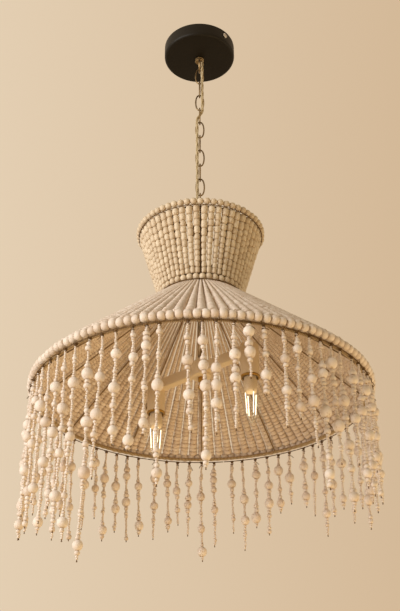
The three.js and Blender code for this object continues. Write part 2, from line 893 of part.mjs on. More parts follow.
for (const [side, turn] of [["right", 0], ["left", Math.PI]]) {
  const arm = new THREE.Group();
  arm.rotation.z = turn;
  cluster.add(arm);
  piece(arm, "arm_" + side, armShape(), finishes.cluster);
  const lamp = new THREE.Group();
  lamp.position.set(armReach, 0, 0);
  arm.add(lamp);
  piece(
    lamp,
    "socket_rim_" + side,
    turnedRing([
      [socketRadius - socketWall, rimTop - rimHeight],
      [socketRadius + rimLip, rimTop - rimHeight],
      [socketRadius + rimLip, rimTop],
      [socketRadius - socketWall, rimTop],
    ]),
    finishes.brass,
  );
  piece(lamp, "bulb_" + side, bulbShape(), finishes.glass).position.z = bulbTop;
  piece(lamp, "filament_" + side, filamentShape(), finishes.filament).position.z = bulbTop;
  piece(lamp, "bulb_cap_" + side, bulbCapShape(), finishes.steel).position.z = bulbTop;
}

// Fringe: arcs of cord under the brim row, with the strings knotted to them

const fringeLevel = brimRow.y - brimBead / 2 - fringeCord / 2 - swingGap;
const sectionArc = 360 / fringeSections;

function hangingString([bearing, lengthShare, beadShares]) {
  const length = fringeLength * lengthShare;
  const half = bigBead / 2;
  const profile = [[0, -length], [stringRadius, -length]];
  for (const share of [...beadShares].reverse()) {
    const middle = -half - (length - bigBead) * share;
    profile.push([stringRadius, middle - half], [half, middle], [stringRadius, middle + half]);
  }
  profile.push([stringRadius, 0], [0, 0]);
  const place = at(brimRadius, fringeLevel, bearing);
  const string = turned(profile, stringSides).rotateZ(radians(bearing + 45));
  return string.translate(place.x, place.y, place.z);
}

function headerArc(from, to) {
  const margin = THREE.MathUtils.radToDeg(fringeGap / 2 / brimRadius);
  const points = [];
  for (let i = 0; i <= headerSteps; i++) {
    const bearing = THREE.MathUtils.lerp(from + margin, to - margin, i / headerSteps);
    points.push(at(brimRadius, fringeLevel, bearing));
  }
  return rodThrough(points, fringeCord, headerFacets);
}

for (let i = 0; i < fringeSections; i++) {
  const from = fringeTurn + (i - 0.5) * sectionArc;
  const mine = fringeShares.filter(([bearing]) => {
    const turn = THREE.MathUtils.euclideanModulo(bearing - from, 360);
    return turn < sectionArc;
  });
  piece(
    chandelier,
    "fringe_" + String(i + 1).padStart(2, "0"),
    joined(headerArc(from, from + sectionArc), ...mine.map(hangingString)),
    finishes.bead,
  );
}

export default chandelier;
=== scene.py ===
# A beaded chandelier on its chain, with a bead fringe and two candle lamps inside.
# Metres, +Z up, the origin on the ceiling at the middle of the mounting bar.
import json
import math

import bpy
import numpy as np
from mathutils import Matrix

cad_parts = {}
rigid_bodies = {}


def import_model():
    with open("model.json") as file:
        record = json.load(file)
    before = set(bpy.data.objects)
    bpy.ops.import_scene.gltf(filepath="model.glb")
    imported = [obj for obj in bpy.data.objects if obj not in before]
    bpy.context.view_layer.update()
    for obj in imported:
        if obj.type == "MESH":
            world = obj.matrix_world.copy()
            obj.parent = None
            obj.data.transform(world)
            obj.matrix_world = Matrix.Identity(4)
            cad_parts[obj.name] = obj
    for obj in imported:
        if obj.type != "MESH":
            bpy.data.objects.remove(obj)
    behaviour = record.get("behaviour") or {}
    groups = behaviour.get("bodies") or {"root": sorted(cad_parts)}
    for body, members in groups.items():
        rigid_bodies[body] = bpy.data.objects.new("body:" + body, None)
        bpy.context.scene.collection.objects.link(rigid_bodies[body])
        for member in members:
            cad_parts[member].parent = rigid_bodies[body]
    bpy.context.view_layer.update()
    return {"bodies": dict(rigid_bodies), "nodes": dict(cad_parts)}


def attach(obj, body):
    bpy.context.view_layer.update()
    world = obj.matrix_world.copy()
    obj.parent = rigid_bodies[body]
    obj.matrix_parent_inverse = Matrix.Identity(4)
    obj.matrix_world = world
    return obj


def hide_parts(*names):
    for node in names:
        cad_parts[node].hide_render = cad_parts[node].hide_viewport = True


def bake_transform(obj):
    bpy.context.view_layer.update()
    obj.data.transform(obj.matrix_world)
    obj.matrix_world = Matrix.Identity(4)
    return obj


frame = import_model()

rng = np.random.default_rng(7)


# The view: from in front of the shade and below it, looking up.
# A long lens, and the slight roll of a hand-held camera.
view_place = (-0.0013, -1.3278, -1.2758)
view_rise = 29.8
view_roll = -0.31
view_lens = 60.43
view_depth = 30

eye = bpy.data.objects.new("view", bpy.data.cameras.new("view"))
eye.data.lens = view_lens
eye.data.clip_end = view_depth
eye.matrix_world = (
    Matrix.Translation(view_place)
    @ Matrix.Rotation(math.radians(90 + view_rise), 4, "X")
    @ Matrix.Rotation(math.radians(view_roll), 4, "Z")
)
bpy.context.scene.collection.objects.link(eye)
bpy.context.scene.camera = eye


# Flex: three cores in cotton braid, laid in a twist. It comes out under the ceiling cup, passes
# through the fourth link and goes into the eye. It is cut into lengths where the chain pivots.
flex_route = [
    (0.0047, -0.0012, -0.0316),
    (0.0047, -0.0018, -0.036),
    (0.0047, -0.0034, -0.042),
    (0.0044, -0.0044, -0.050),
    (0.0044, -0.0044, -0.070),
    (0.0044, -0.0044, -0.095),
    (0.0044, -0.0044, -0.120),
    (0.0044, -0.0044, -0.141),
    (0.0027, -0.0029, -0.147),
    (0, -0.0018, -0.152),
    (-0.0027, -0.0029, -0.157),
    (-0.0044, -0.0044, -0.163),
    (-0.0044, -0.0044, -0.185),
    (-0.0044, -0.0044, -0.210),
    (-0.0044, -0.0044, -0.235),
    (-0.0044, -0.0044, -0.260),
    (-0.0044, -0.0044, -0.285),
    (-0.0044, -0.0044, -0.310),
    (-0.0044, -0.0044, -0.330),
    (-0.0036, -0.0047, -0.342),
    (-0.0014, -0.0047, -0.352),
    (-0.0004, -0.0047, -0.357),
    (0, -0.0047, -0.360),
]
core_radius = 0.00118
core_spread = 0.0013
core_lay = 0.055
core_count = 3
core_sides = 10
flex_step = 0.0011
flex_cuts = [0.0, -0.066, -0.095, -0.300, -0.328, -0.4]


class Value:
    """What comes out of a node, so that a finish can be written as sums of masks."""

    def __init__(self, finish, socket):
        self.finish = finish
        self.socket = socket

    def sum(self, operation, first, second):
        return self.finish.node("ShaderNodeMath", {"operation": operation}, {0: first, 1: second})

    def __add__(self, other):
        return self.sum("ADD", self, other)

    def __radd__(self, other):
        return self.sum("ADD", other, self)

    def __mul__(self, other):
        return self.sum("MULTIPLY", self, other)

    def __rmul__(self, other):
        return self.sum("MULTIPLY", other, self)

    def __pow__(self, other):
        return self.sum("POWER", self, other)


class Finish:
    """A material, or the studio's own nodes, written down as its nodes are wanted."""

    def __init__(self, name, holder=None):
        self.material = holder or bpy.data.materials.new(name)
        self.material.use_nodes = True
        self.tree = self.material.node_tree

    def feed(self, socket, value):
        if isinstance(value, Value):
            self.tree.links.new(value.socket, socket)
        else:
            socket.default_value = value

    def node(self, kind, settings=None, inputs=None, output=0):
        """A node's output. Its settings are made first, then its sockets get values or links."""
        made = self.tree.nodes.new(kind)
        for name, setting in (settings or {}).items():
            if name == "stops":
                ramp = made.color_ramp.elements
                ramp[0].position, ramp[1].position = setting
                ramp[0].color, ramp[1].color = (0, 0, 0, 1), (1, 1, 1, 1)
            else:
                setattr(made, name, setting)
        for name, value in (inputs or {}).items():
            self.feed(made.inputs[name], value)
        return Value(self, made.outputs[output])

    def blend(self, share, first, second, way="MIX"):
        """Two colours mixed by a share."""
        settings = {"data_type": "RGBA", "blend_type": way}
        return self.node("ShaderNodeMix", settings, {0: share, 6: first, 7: second}, 2)

    def noise(self, scale, place=None, detail=3.0, output="Fac"):
        inputs = {"Scale": scale, "Detail": detail}
        inputs["Vector"] = place or self.node("ShaderNodeTexCoord", output="Object")
        return self.node("ShaderNodeTexNoise", {}, inputs, output)

    def mask(self, value, low, high):
        """0 where the value is under low, 1 where it is over high."""
        return self.node("ShaderNodeValToRGB", {"stops": (low, high)}, {"Fac": value})

    def bump(self, height, depth, strength=1.0):
        inputs = {"Strength": strength, "Distance": depth, "Height": height}
        return self.node("ShaderNodeBump", {}, inputs, "Normal")

    def coat(self, **sockets):
        """Sets the shader's sockets, named with underscores for spaces."""
        shader = self.tree.nodes["Principled BSDF"]
        for name, value in sockets.items():
            self.feed(shader.inputs[name.replace("_", " ")], value)
        return self


def joined(shapes):
    """Several shapes as one. A shape is its points and its faces, grouped by how many corners they have."""
    points = []
    faces = []
    count = 0
    for shape_points, groups in shapes:
        points.append(shape_points)
        faces += [group + count for group in groups]
        count += len(shape_points)
    return np.concatenate(points), faces


def piece(name, shapes, finish, body=None, stands_for=(), crease=35, marks=None):
    """A mesh object. Edges over the crease angle stay sharp; marks are values for each of its points."""
    points, faces = joined(shapes)
    corners = np.concatenate([group.ravel() for group in faces])
    sizes = np.concatenate([np.full(len(group), group.shape[1]) for group in faces])
    mesh = bpy.data.meshes.new(name)
    mesh.vertices.add(len(points))
    mesh.vertices.foreach_set("co", points.astype(np.float32).ravel())
    mesh.loops.add(len(corners))
    mesh.loops.foreach_set("vertex_index", corners.astype(np.int32))
    mesh.polygons.add(len(sizes))
    mesh.polygons.foreach_set("loop_start", (np.cumsum(sizes) - sizes).astype(np.int32))
    mesh.update(calc_edges=True)
    mesh.polygons.foreach_set("use_smooth", np.ones(len(sizes), bool))
    if crease:
        mesh.set_sharp_from_angle(angle=math.radians(crease))
    for mark, values in (marks or {}).items():
        kind, field = ("FLOAT", "value") if values.ndim == 1 else ("FLOAT_VECTOR", "vector")
        attribute = mesh.attributes.new(mark, kind, "POINT")
        attribute.data.foreach_set(field, values.astype(np.float32).ravel())
    mesh.materials.append(finish.material)
    made = bpy.data.objects.new(name, mesh)
    bpy.context.scene.collection.objects.link(made)
    if body:
        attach(made, body)
    if stands_for:
        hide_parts(*stands_for)
    return made


def directions(path, closed=False):
    """The way ahead at each point of a path, and two ways across it that are carried along without twist."""
    ahead = np.roll(path, -1, 0) - np.roll(path, 1, 0)
    if not closed:
        ahead[0] = path[1] - path[0]
        ahead[-1] = path[-1] - path[-2]
    ahead /= np.linalg.norm(ahead, axis=1)[:, None]
    across = np.zeros_like(ahead)
    side = np.cross(ahead[0], np.eye(3)[np.argmin(np.abs(ahead[0]))])
    for i, way in enumerate(ahead):
        side = side - way * side.dot(way)
        side /= np.linalg.norm(side)
        across[i] = side
    return ahead, across, np.cross(ahead, across)


def skin(low, high):
    """Four-sided faces between rings of points and the rings that follow them."""
    return np.stack([low, np.roll(low, -1, -1), np.roll(high, -1, -1), high], -1).reshape(-1, 4)


def stacked(rings, closed=False):
    """A shape from rings of points, one after another. Its ends get faces, or closed joins them."""
    points = np.asarray(rings, float)
    index = np.arange(points.shape[0] * points.shape[1]).reshape(points.shape[:2])
    if closed:
        faces = [skin(index, np.roll(index, -1, 0))]
    else:
        faces = [skin(index[:-1], index[1:]), index[:1, ::-1], index[-1:]]
    return points.reshape(-1, 3), faces


def tube(path, radius, sides=12, closed=False):
    """Round wire along a path of points. The radius is one number, or one for each point."""
    path = np.asarray(path, float)
    _, across, other = directions(path, closed)
    turn = np.arange(sides) * 2 * math.pi / sides
    reach = np.broadcast_to(radius, len(path))[:, None, None]
    round_it = np.cos(turn)[None, :, None] * across[:, None] + np.sin(turn)[None, :, None] * other[:, None]
    return stacked(path[:, None] + reach * round_it, closed)


def through(points, steps=24):
    """A smooth line through a few points (Catmull-Rom)."""
    p = np.asarray(points, float)
    p = np.vstack([2 * p[0] - p[1], p, 2 * p[-1] - p[-2]])
    t = np.linspace(0, 1, steps, endpoint=False)[:, None]
    line = [
        0.5 * (2 * b + (c - a) * t + (2 * a - 5 * b + 4 * c - d) * t**2 + (3 * b - a - 3 * c + d) * t**3)
        for a, b, c, d in zip(p, p[1:], p[2:], p[3:])
    ]
    return np.vstack(line + [p[-2:-1]])


def even(line, step):
    """The line again, with its points a step apart."""
    run = np.concatenate([[0], np.cumsum(np.linalg.norm(np.diff(line, axis=0), axis=1))])
    wanted = np.linspace(0, run[-1], max(2, round(run[-1] / step) + 1))
    return np.stack([np.interp(wanted, run, line[:, k]) for k in range(3)], 1)


cotton = Finish("cotton braid")
braid = cotton.node(
    "ShaderNodeTexWave",
    {"wave_type": "BANDS", "bands_direction": "DIAGONAL"},
    {"Vector": cotton.node("ShaderNodeTexCoord", output="Object"), "Scale": 330.0, "Distortion": 2.0},
    "Fac",
)
soil = cotton.mask(cotton.noise(55.0), 0.35, 0.75)
cotton.coat(
    Base_Color=cotton.blend(
        soil * 0.6,
        cotton.blend(braid, (0.52, 0.41, 0.25, 1), (0.64, 0.53, 0.35, 1)),
        (0.42, 0.30, 0.15, 1),
    ),
    Roughness=0.9,
    Normal=cotton.bump(braid, 0.0002),
)

flex_line = even(through(flex_route), flex_step)
_, flex_across, flex_other = directions(flex_line)
flex_run = np.arange(len(flex_line)) * flex_step
cores = []
for k in range(core_count):
    turn = 2 * math.pi * (flex_run / core_lay + k / core_count)
    aside = np.cos(turn)[:, None] * flex_across + np.sin(turn)[:, None] * flex_other
    cores.append(flex_line + core_spread * aside)
flex_lengths = []
for number, (top, foot) in enumerate(zip(flex_cuts, flex_cuts[1:])):
    inside = np.where((flex_line[:, 2] <= top) & (flex_line[:, 2] >= foot))[0]
    reach = slice(max(inside[0] - 1, 0), inside[-1] + 1)
    shapes = [tube(core[reach], core_radius, core_sides) for core in cores]
    body = "chain" if number == 2 else None
    flex_lengths.append(piece(f"flex_{number + 1}", shapes, cotton, body, ["flex"], None))
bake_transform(flex_lengths[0])
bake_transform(flex_lengths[1])
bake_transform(flex_lengths[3])
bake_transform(flex_lengths[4])


# Ceiling cup: spun steel with a rounded rim, in a fine matt black powder coat.
# It is pulled up to the ceiling by its two side screws and has a hole for the loop.
cup_radius = 0.060
cup_height = 0.025
cup_wall = 0.0012
cup_edge = 0.005
cup_bore = 0.0054
cup_lip = ((0, -0.0014), (0.0002, -0.0003), (0.0006, 0))
cup_sides = 96


def turned(profile, sides=64, closed=False):
    """A shape turned about Z, from (radius, height) pairs up its outside. closed joins the two ends."""
    turn = np.arange(sides) * 2 * math.pi / sides
    circle = np.stack([np.cos(turn), np.sin(turn)], 1)
    points = []
    rings = []
    count = 0
    for radius, height in profile:
        ring = circle if radius > 0 else circle[:1]
        points.append(np.column_stack([ring * radius, np.full(len(ring), height)]))
        rings.append(count + np.arange(len(ring)))
        count += len(ring)
    if closed:
        rings.append(rings[0])
    quads = []
    fans = []
    for low, high in zip(rings, rings[1:]):
        if len(low) == len(high):
            quads.append(skin(low, high))
        elif len(low) == 1:
            fans.append(np.stack([np.repeat(low, sides), np.roll(high, -1), high], 1))
        else:
            fans.append(np.stack([low, np.roll(low, -1), np.repeat(high, sides)], 1))
    return np.concatenate(points), [np.concatenate(group) for group in (quads, fans) if group]


def rounded(corner, radius, start, end, steps=6):
    """Points of a rounded corner of a profile, about its middle, from one angle to another in degrees."""
    turn = np.radians(np.linspace(start, end, steps + 1))
    return [(corner[0] + radius * math.cos(a), corner[1] + radius * math.sin(a)) for a in turn]


powder = Finish("black powder coat")
orange_peel = powder.noise(900.0, detail=2.0)
dust = powder.mask(powder.noise(14.0), 0.45, 0.8)
powder.coat(
    Base_Color=powder.blend(dust * 0.3, (0.0075, 0.0050, 0.0020, 1), (0.020, 0.015, 0.008, 1)),
    Roughness=0.50 + dust * 0.16,
    Specular_IOR_Level=0.22,
    Normal=powder.bump(orange_peel, 0.00012, 0.6),
)

cup_floor = -cup_height
cup_inner = cup_radius - cup_edge
cup_profile = [(cup_bore, cup_floor)]
cup_profile += rounded((cup_inner, cup_floor + cup_edge), cup_edge, -90, 0, 10)
cup_profile += [(cup_radius - inward, z) for inward, z in cup_lip] + [(cup_radius - cup_wall, 0)]
cup_profile += rounded((cup_inner, cup_floor + cup_edge), cup_edge - cup_wall, 0, -90, 10)
cup_profile += [(cup_bore, cup_floor + cup_wall)]
piece("ceiling_cup", [turned(cup_profile, cup_sides, True)], powder, "ceiling", ["canopy"])


# Side screws: round-headed, slotted, zinc plated. They go through the cup's wall into the
# bar's tabs and hold the cup up.
screw_turns = {"side_screw_right": -44, "side_screw_left": 136}
screw_seat = 0.0603
screw_level = -0.011
screw_head = 0.0044
screw_rise = 0.0026
screw_shank = 0.002
screw_length = 0.009
screw_neck = 0.0003
screw_point = 0.0003
point_share = 0.6
screw_sides = 40
screw_spin = 35
skirt_shares = ((1, 0), (1, 0.38), (0.97, 0.45))
dome_fit_share = 0.985
slot_wide = 0.0009
slot_deep = 0.0011
slot_edge = 1e-5

zinc = Finish("zinc plate")
haze = zinc.noise(120.0)
zinc.coat(
    Base_Color=zinc.blend(haze, (0.52, 0.50, 0.46, 1), (0.70, 0.68, 0.63, 1)),
    Metallic=1.0,
    Roughness=0.22 + haze * 0.2,
    Normal=zinc.bump(zinc.noise(2600.0), 0.00003, 0.5),
)


def placed(shape, matrix):
    """A shape moved by a matrix."""
    points, faces = shape
    turn = np.array(matrix)
    return points @ turn[:3, :3].T + turn[:3, 3], faces


def thread_profile(radius, start, end, pitch=0.0007, depth=0.00025):
    """Ridges of a screw thread, as (radius, height) pairs, up from start to end."""
    count = round((end - start) / pitch)
    heights = np.linspace(start, end, 2 * count + 1)
    return [(radius - (depth if i % 2 else 0), z) for i, z in enumerate(heights)]


def slotted_head(rise, radius, wide, deep):
    """A domed head with a slot across it: a grid on the head's disc, dropped where the slot runs."""
    across_shares = np.array([-1, -0.82, -0.62, -0.44, -0.3, -0.2, 0.2, 0.3, 0.44, 0.62, 0.82, 1])
    lane_shares = np.array([-1, -0.8, -0.6, -0.42, -0.26])
    dome_share = 0.86
    half = wide / 2
    slot_lanes = [-half - slot_edge, -half + slot_edge, half - slot_edge, half + slot_edge]
    over = np.concatenate([lane_shares * radius, slot_lanes, -lane_shares[::-1] * radius])
    x, y = np.meshgrid(across_shares * radius, over, indexing="ij")
    squeeze = radius / np.maximum(np.hypot(x, y), radius)
    x, y_rim = x * squeeze, y * squeeze
    y = np.where(np.abs(y) < wide, y, y_rim)
    dome = rise * np.sqrt(np.clip(1 - dome_share * (x**2 + y**2) / radius**2, 0, 1))
    in_slot = np.abs(y) < half
    z = np.where(in_slot, rise - deep, dome)
    points = np.stack([x, y, z], 2).reshape(-1, 3)
    index = np.arange(x.size).reshape(x.shape)
    quads = np.stack([index[:-1, :-1], index[1:, :-1], index[1:, 1:], index[:-1, 1:]], 2).reshape(-1, 4)
    return points, [quads]


shank = thread_profile(screw_shank, -screw_length, -screw_neck)
screw_end = -screw_length - screw_point
screw_body = turned([(0, screw_end), (screw_shank * point_share, screw_end)] + shank, 32)
skirt_profile = [(screw_head * out, screw_rise * up) for out, up in skirt_shares]
skirt = turned([(screw_shank, 0)] + skirt_profile, screw_sides)
for name, bearing in screw_turns.items():
    outward = (
        Matrix.Rotation(math.radians(bearing), 4, "Z")
        @ Matrix.Translation((screw_seat, 0, screw_level))
        @ Matrix.Rotation(math.radians(90), 4, "Y")
        @ Matrix.Rotation(math.radians(screw_spin), 4, "Z")
    )
    head = slotted_head(screw_rise, screw_head * dome_fit_share, slot_wide, slot_deep)
    shapes = [placed(shape, outward) for shape in (screw_body, skirt, head)]
    piece(name + "_round_head", shapes, zinc, "ceiling", [name])


# Mounting bar: a steel strap with bent tabs, screwed up to the ceiling through two holes.
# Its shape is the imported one, in the same zinc plate as the screws.
frame["nodes"]["mounting_bar"].data.materials.clear()
frame["nodes"]["mounting_bar"].data.materials.append(zinc.material)


# Terminal block: moulded plastic, under the bar inside the cup. Three brass ways join the flex
# to the ceiling's wires, each with a screw in its own raised well.
block_length = 0.024
block_width = 0.013
block_height = 0.009
block_along = -0.020
block_level = -0.0068
block_ease = 0.0016
bevel_share = 0.6
way_radius = 0.0028
way_count = 3
well_wall = 0.0008
well_depth = 0.0012
well_rise = 0.0004
well_seat = 0.001

plastic = Finish("moulded plastic")
mottle = plastic.noise(300.0)
plastic.coat(
    Base_Color=plastic.blend(mottle, (0.62, 0.58, 0.49, 1), (0.70, 0.66, 0.57, 1)),
    Roughness=0.42 + mottle * 0.1,
    Normal=plastic.bump(plastic.noise(1500.0), 0.00005, 0.5),
)


def rounded_oblong(length, width, ease, shrink=0.0, steps=4):
    """Points round an oblong with rounded corners, all drawn in by the shrink."""
    line = []
    for corner, (sx, sy) in enumerate(((1, 1), (-1, 1), (-1, -1), (1, -1))):
        middle = (sx * (length / 2 - ease), sy * (width / 2 - ease))
        line += rounded(middle, ease - shrink, 90 * corner, 90 * corner + 90, steps)
    return np.array(line)


def eased_box(length, width, height, ease):
    """A block with rounded upright edges and eased top and bottom."""
    half = height / 2
    bevel = ease * bevel_share
    rings = []
    for z, shrink in ((-half, bevel), (-half + bevel, 0), (half - bevel, 0), (half, bevel)):
        ring = rounded_oblong(length, width, ease, shrink)
        rings.append(np.column_stack([ring, np.full(len(ring), z)]))
    return stacked(rings)


block_turn = Matrix.Rotation(math.radians(screw_turns["side_screw_right"]), 4, "Z")
block_place = block_turn @ Matrix.Translation((block_along, 0, block_level))
block_foot = -block_height / 2
well_profile = [
    (way_radius, block_foot + well_seat),
    (way_radius, block_foot - well_rise),
    (way_radius - well_wall, block_foot - well_rise),
    (way_radius - well_wall, block_foot + well_depth),
    (0, block_foot + well_depth),
]
well = turned(well_profile, 24)
block_shapes = [eased_box(block_length, block_width, block_height - well_seat, block_ease)]
for k in range(way_count):
    along = (k - (way_count - 1) / 2) * block_length / way_count
    block_shapes.append(placed(well, Matrix.Translation((along, 0, 0))))
block_shapes = [placed(shape, block_place) for shape in block_shapes]
piece("terminal_strip", block_shapes, plastic, "ceiling", ["terminal_block"])


# Loop under the cup: a cast brass ring on a barrel, aged brown. Its threaded shank goes up
# through the cup's floor, where a hexagon nut locks it.
loop_wire = 0.0016
loop_radius = 0.0105
barrel_radius = 0.0075
barrel_ease = 0.0007
groove_half = 0.0012
groove_floor_half = 0.0008
groove_depth = 0.0005
top_barrel = (-0.0313, -0.0253)
top_shank = 0.005
shank_top = -0.0113
shank_neck = 0.0003
shank_grooves = (0.001, 0.0004)
top_ring = -0.0412
nut_radius = 0.009
nut_foot = -0.0235
nut_height = 0.005
nut_bore = 0.0054
nut_edge = 0.0002
nut_face_share = 0.97

brass = Finish("aged brass")
patina = brass.mask(brass.noise(75.0, detail=5.0), 0.38, 0.68)
brushing = brass.noise(1400.0)
brass.coat(
    Base_Color=brass.blend(patina, (0.34, 0.245, 0.130, 1), (0.140, 0.098, 0.055, 1)),
    Metallic=0.9,
    Roughness=0.3 + patina * 0.22,
    Normal=brass.bump(brushing, 0.00006, 0.5),
)


def circle(radius, z=0.0, steps=48, start=0.0, end=360.0):
    """Points of a level circle, or of an arc of it."""
    whole = end - start >= 360
    turn = np.radians(np.linspace(start, end, steps, endpoint=not whole))
    return np.stack([radius * np.cos(turn), radius * np.sin(turn), np.full(steps, z)], 1)


def barrel(foot, top, radius):
    """A turned barrel with eased edges and a shallow groove round its middle."""
    middle = (foot + top) / 2
    return [
        (radius - barrel_ease, foot),
        (radius, foot + barrel_ease),
        (radius, middle - groove_half),
        (radius - groove_depth, middle - groove_floor_half),
        (radius - groove_depth, middle + groove_floor_half),
        (radius, middle + groove_half),
        (radius, top - barrel_ease),
        (radius - barrel_ease, top),
    ]


def upright_ring(z, turn):
    """The loop's ring, standing up and turned about Z."""
    ring = tube(circle(loop_radius, steps=64), loop_wire, 16, True)
    stand = Matrix.Rotation(math.radians(turn), 4, "Z") @ Matrix.Rotation(math.radians(90), 4, "X")
    return placed(ring, Matrix.Translation((0, 0, z)) @ stand)


loop_profile = [(0, top_barrel[0])] + barrel(*top_barrel, barrel_radius) + [(top_shank, top_barrel[1])]
loop_profile += thread_profile(top_shank, top_barrel[1] + shank_neck, shank_top, *shank_grooves)
loop_profile += [(0, shank_top)]
loop_shapes = [turned(loop_profile, 48), upright_ring(top_ring, 90)]
piece("ceiling_loop", loop_shapes, brass, "ceiling", ["canopy_loop"])


def hexagon_nut(radius, bore, foot, height, sides=96):
    """A nut with its corners turned off at both ends."""
    turn = np.arange(sides) * 2 * math.pi / sides
    flat = radius * math.cos(math.pi / 6)
    reach = flat / np.cos((turn + math.pi / 6) % (math.pi / 3) - math.pi / 6)
    fall = (reach - flat) * math.tan(math.pi / 6) + nut_edge
    levels = [
        (bore, foot),
        (flat * nut_face_share, foot),
        (reach, foot + fall),
        (reach, foot + height - fall),
        (flat * nut_face_share, foot + height),
        (bore, foot + height),
    ]
    rings = [np.stack([r * np.cos(turn), r * np.sin(turn), z + 0 * turn], 1) for r, z in levels]
    return stacked(rings, True)


lock_nut = hexagon_nut(nut_radius, nut_bore, nut_foot, nut_height)
piece("loop_lock_nut", [lock_nut], zinc, "ceiling", ["canopy_nut"], 25)


# Chain: ten oval links of round brass wire, each bent to shape and butted at the middle of one
# side. Every second one is turned a quarter. The first and last are joints of their own.
link_length = 0.0346
link_width = 0.0156
link_wire = 0.0012
link_count = 10
first_link = -0.0644
link_pitch = 0.0292
link_step = 7.5
link_fullness = 0.78
link_waver = 2
seam_points = [23, 24, 25]
seam_shares = (0.3, 1, 0.3)
seam_swell_share = 0.14


def link_shape():
    """One link, with the small swelling of its seam."""
    bend = link_width / 2 - link_wire
    half = link_length / 2 - link_wire
    turn = np.radians(np.arange(0, 360, link_step))
    across = bend * np.sign(np.cos(turn)) * np.abs(np.cos(turn)) ** link_fullness
    path = np.stack([across, np.zeros(len(turn)), half * np.sin(turn)], 1)
    seam = np.zeros(len(path))
    seam[seam_points] = seam_shares
    return tube(path, link_wire * (1 + seam_swell_share * seam), 14, True)


for number in range(link_count):
    name = f"chain_link_{number + 1:02d}"
    body = {0: "upper_link", link_count - 1: "lower_link"}.get(number, "chain")
    stand = Matrix.Translation((0, 0, first_link - number * link_pitch))
    link_turn = 90 * (number % 2) + rng.uniform(-link_waver, link_waver)
    stand = stand @ Matrix.Rotation(math.radians(link_turn), 4, "Z")
    link = placed(link_shape(), stand)
    piece(f"oval_link_{number + 1:02d}", [link], brass, body, [name], None)


# Swivel eye: the same cast ring on a longer barrel, bored from below.
# The stem turns in the bore, so the shade can be turned without twisting the chain.
eye_ring = -0.3504
eye_barrel = (-0.3803, -0.3603)
eye_bore = 0.0054
eye_bore_roof = -0.3663
eye_neck = ((0.003, 0.0004), (0, 0.0005))

eye_profile = [(0, eye_bore_roof), (eye_bore, eye_bore_roof), (eye_bore, eye_barrel[0])]
eye_profile += barrel(*eye_barrel, barrel_radius) + [(r, eye_barrel[1] + rise) for r, rise in eye_neck]
eye_shapes = [turned(eye_profile, 48), upright_ring(eye_ring, 0)]
piece("swivel_eye", eye_shapes, brass, "eye", ["hub_eye"])


# Stem: a brass tube that carries everything below the eye. It has a thread at both ends, for
# the nut under the spider and for the lamp cluster.
stem_radius = 0.005
stem_bore = 0.0035
stem_ends = (-0.6252, -0.3666)
stem_thread = 0.026
stem_pitch = 0.001
stem_groove = 0.0003
stem_edge = 0.0004

stem_foot, stem_top = stem_ends
stem_grooves = (stem_pitch, stem_groove)
stem_profile = [(stem_bore, stem_foot), (stem_radius - stem_edge, stem_foot)]
stem_profile += thread_profile(stem_radius, stem_foot + stem_edge, stem_foot + stem_thread, *stem_grooves)
stem_profile += thread_profile(stem_radius, stem_top - stem_thread, stem_top - stem_edge, *stem_grooves)
stem_profile += [(stem_radius - stem_edge, stem_top), (stem_bore, stem_top)]
piece("brass_stem", [turned(stem_profile, 32, True)], brass, "shade", ["stem"])


# Wire frame: three rings of steel wire, twelve ribs and a spider with four arms, spot welded
# and left in a dark brown lacquer. It hangs on the stem by the spider's hub and a nut.
crown_wire = (0.08402, -0.39411)
waist_wire = (0.05805, -0.49476)
rib_neck = (0.0532, -0.5010)
rib_shoulder = (0.05904, -0.51738)
brim_wire = (0.23338, -0.66862)
ring_wire = 0.0015
brim_ring_wire = 0.00175
rib_wire = 0.001
rib_count = 12
rib_steps = (10, 3, 4, 16)
rib_welds = (0.0021, 0.002, 0.0023)
spoke_wire = 0.0018
spoke_count = 4
spoke_root = 0.004
spoke_welds = (0.0026, 0.0028)
weld_inset = 0.0005
weld_shares = ((0, -1), (0.6, -0.75), (0.95, -0.2), (0.9, 0.35), (0.55, 0.8), (0, 1))
weld_height_share = 0.8
hub_radius = 0.015
hub_levels = (-0.3831, -0.3806)
hub_ease = 0.0006
spider_nut_radius = 0.0095
spider_nut_foot = -0.3894
spider_nut_height = 0.006

lacquer = Finish("brown lacquered wire")
rubbed = lacquer.mask(lacquer.noise(160.0, detail=4.0), 0.5, 0.72)
lacquer.coat(
    Base_Color=lacquer.blend(rubbed, (0.210, 0.135, 0.068, 1), (0.330, 0.230, 0.125, 1)),
    Metallic=0.15,
    Roughness=0.55 + rubbed * 0.2,
    Normal=lacquer.bump(lacquer.noise(1800.0), 0.00005, 0.6),
)


def at(radius, z, bearing):
    """A place on the shade: how far from its middle, at what height and bearing."""
    a = math.radians(bearing)
    return np.array([radius * math.cos(a), radius * math.sin(a), z])


def weld(place, radius):
    """A small blob of weld, flattened a little."""
    blob = turned([(r * radius, z * radius * weld_height_share) for r, z in weld_shares], 10)
    return placed(blob, Matrix.Translation(place))


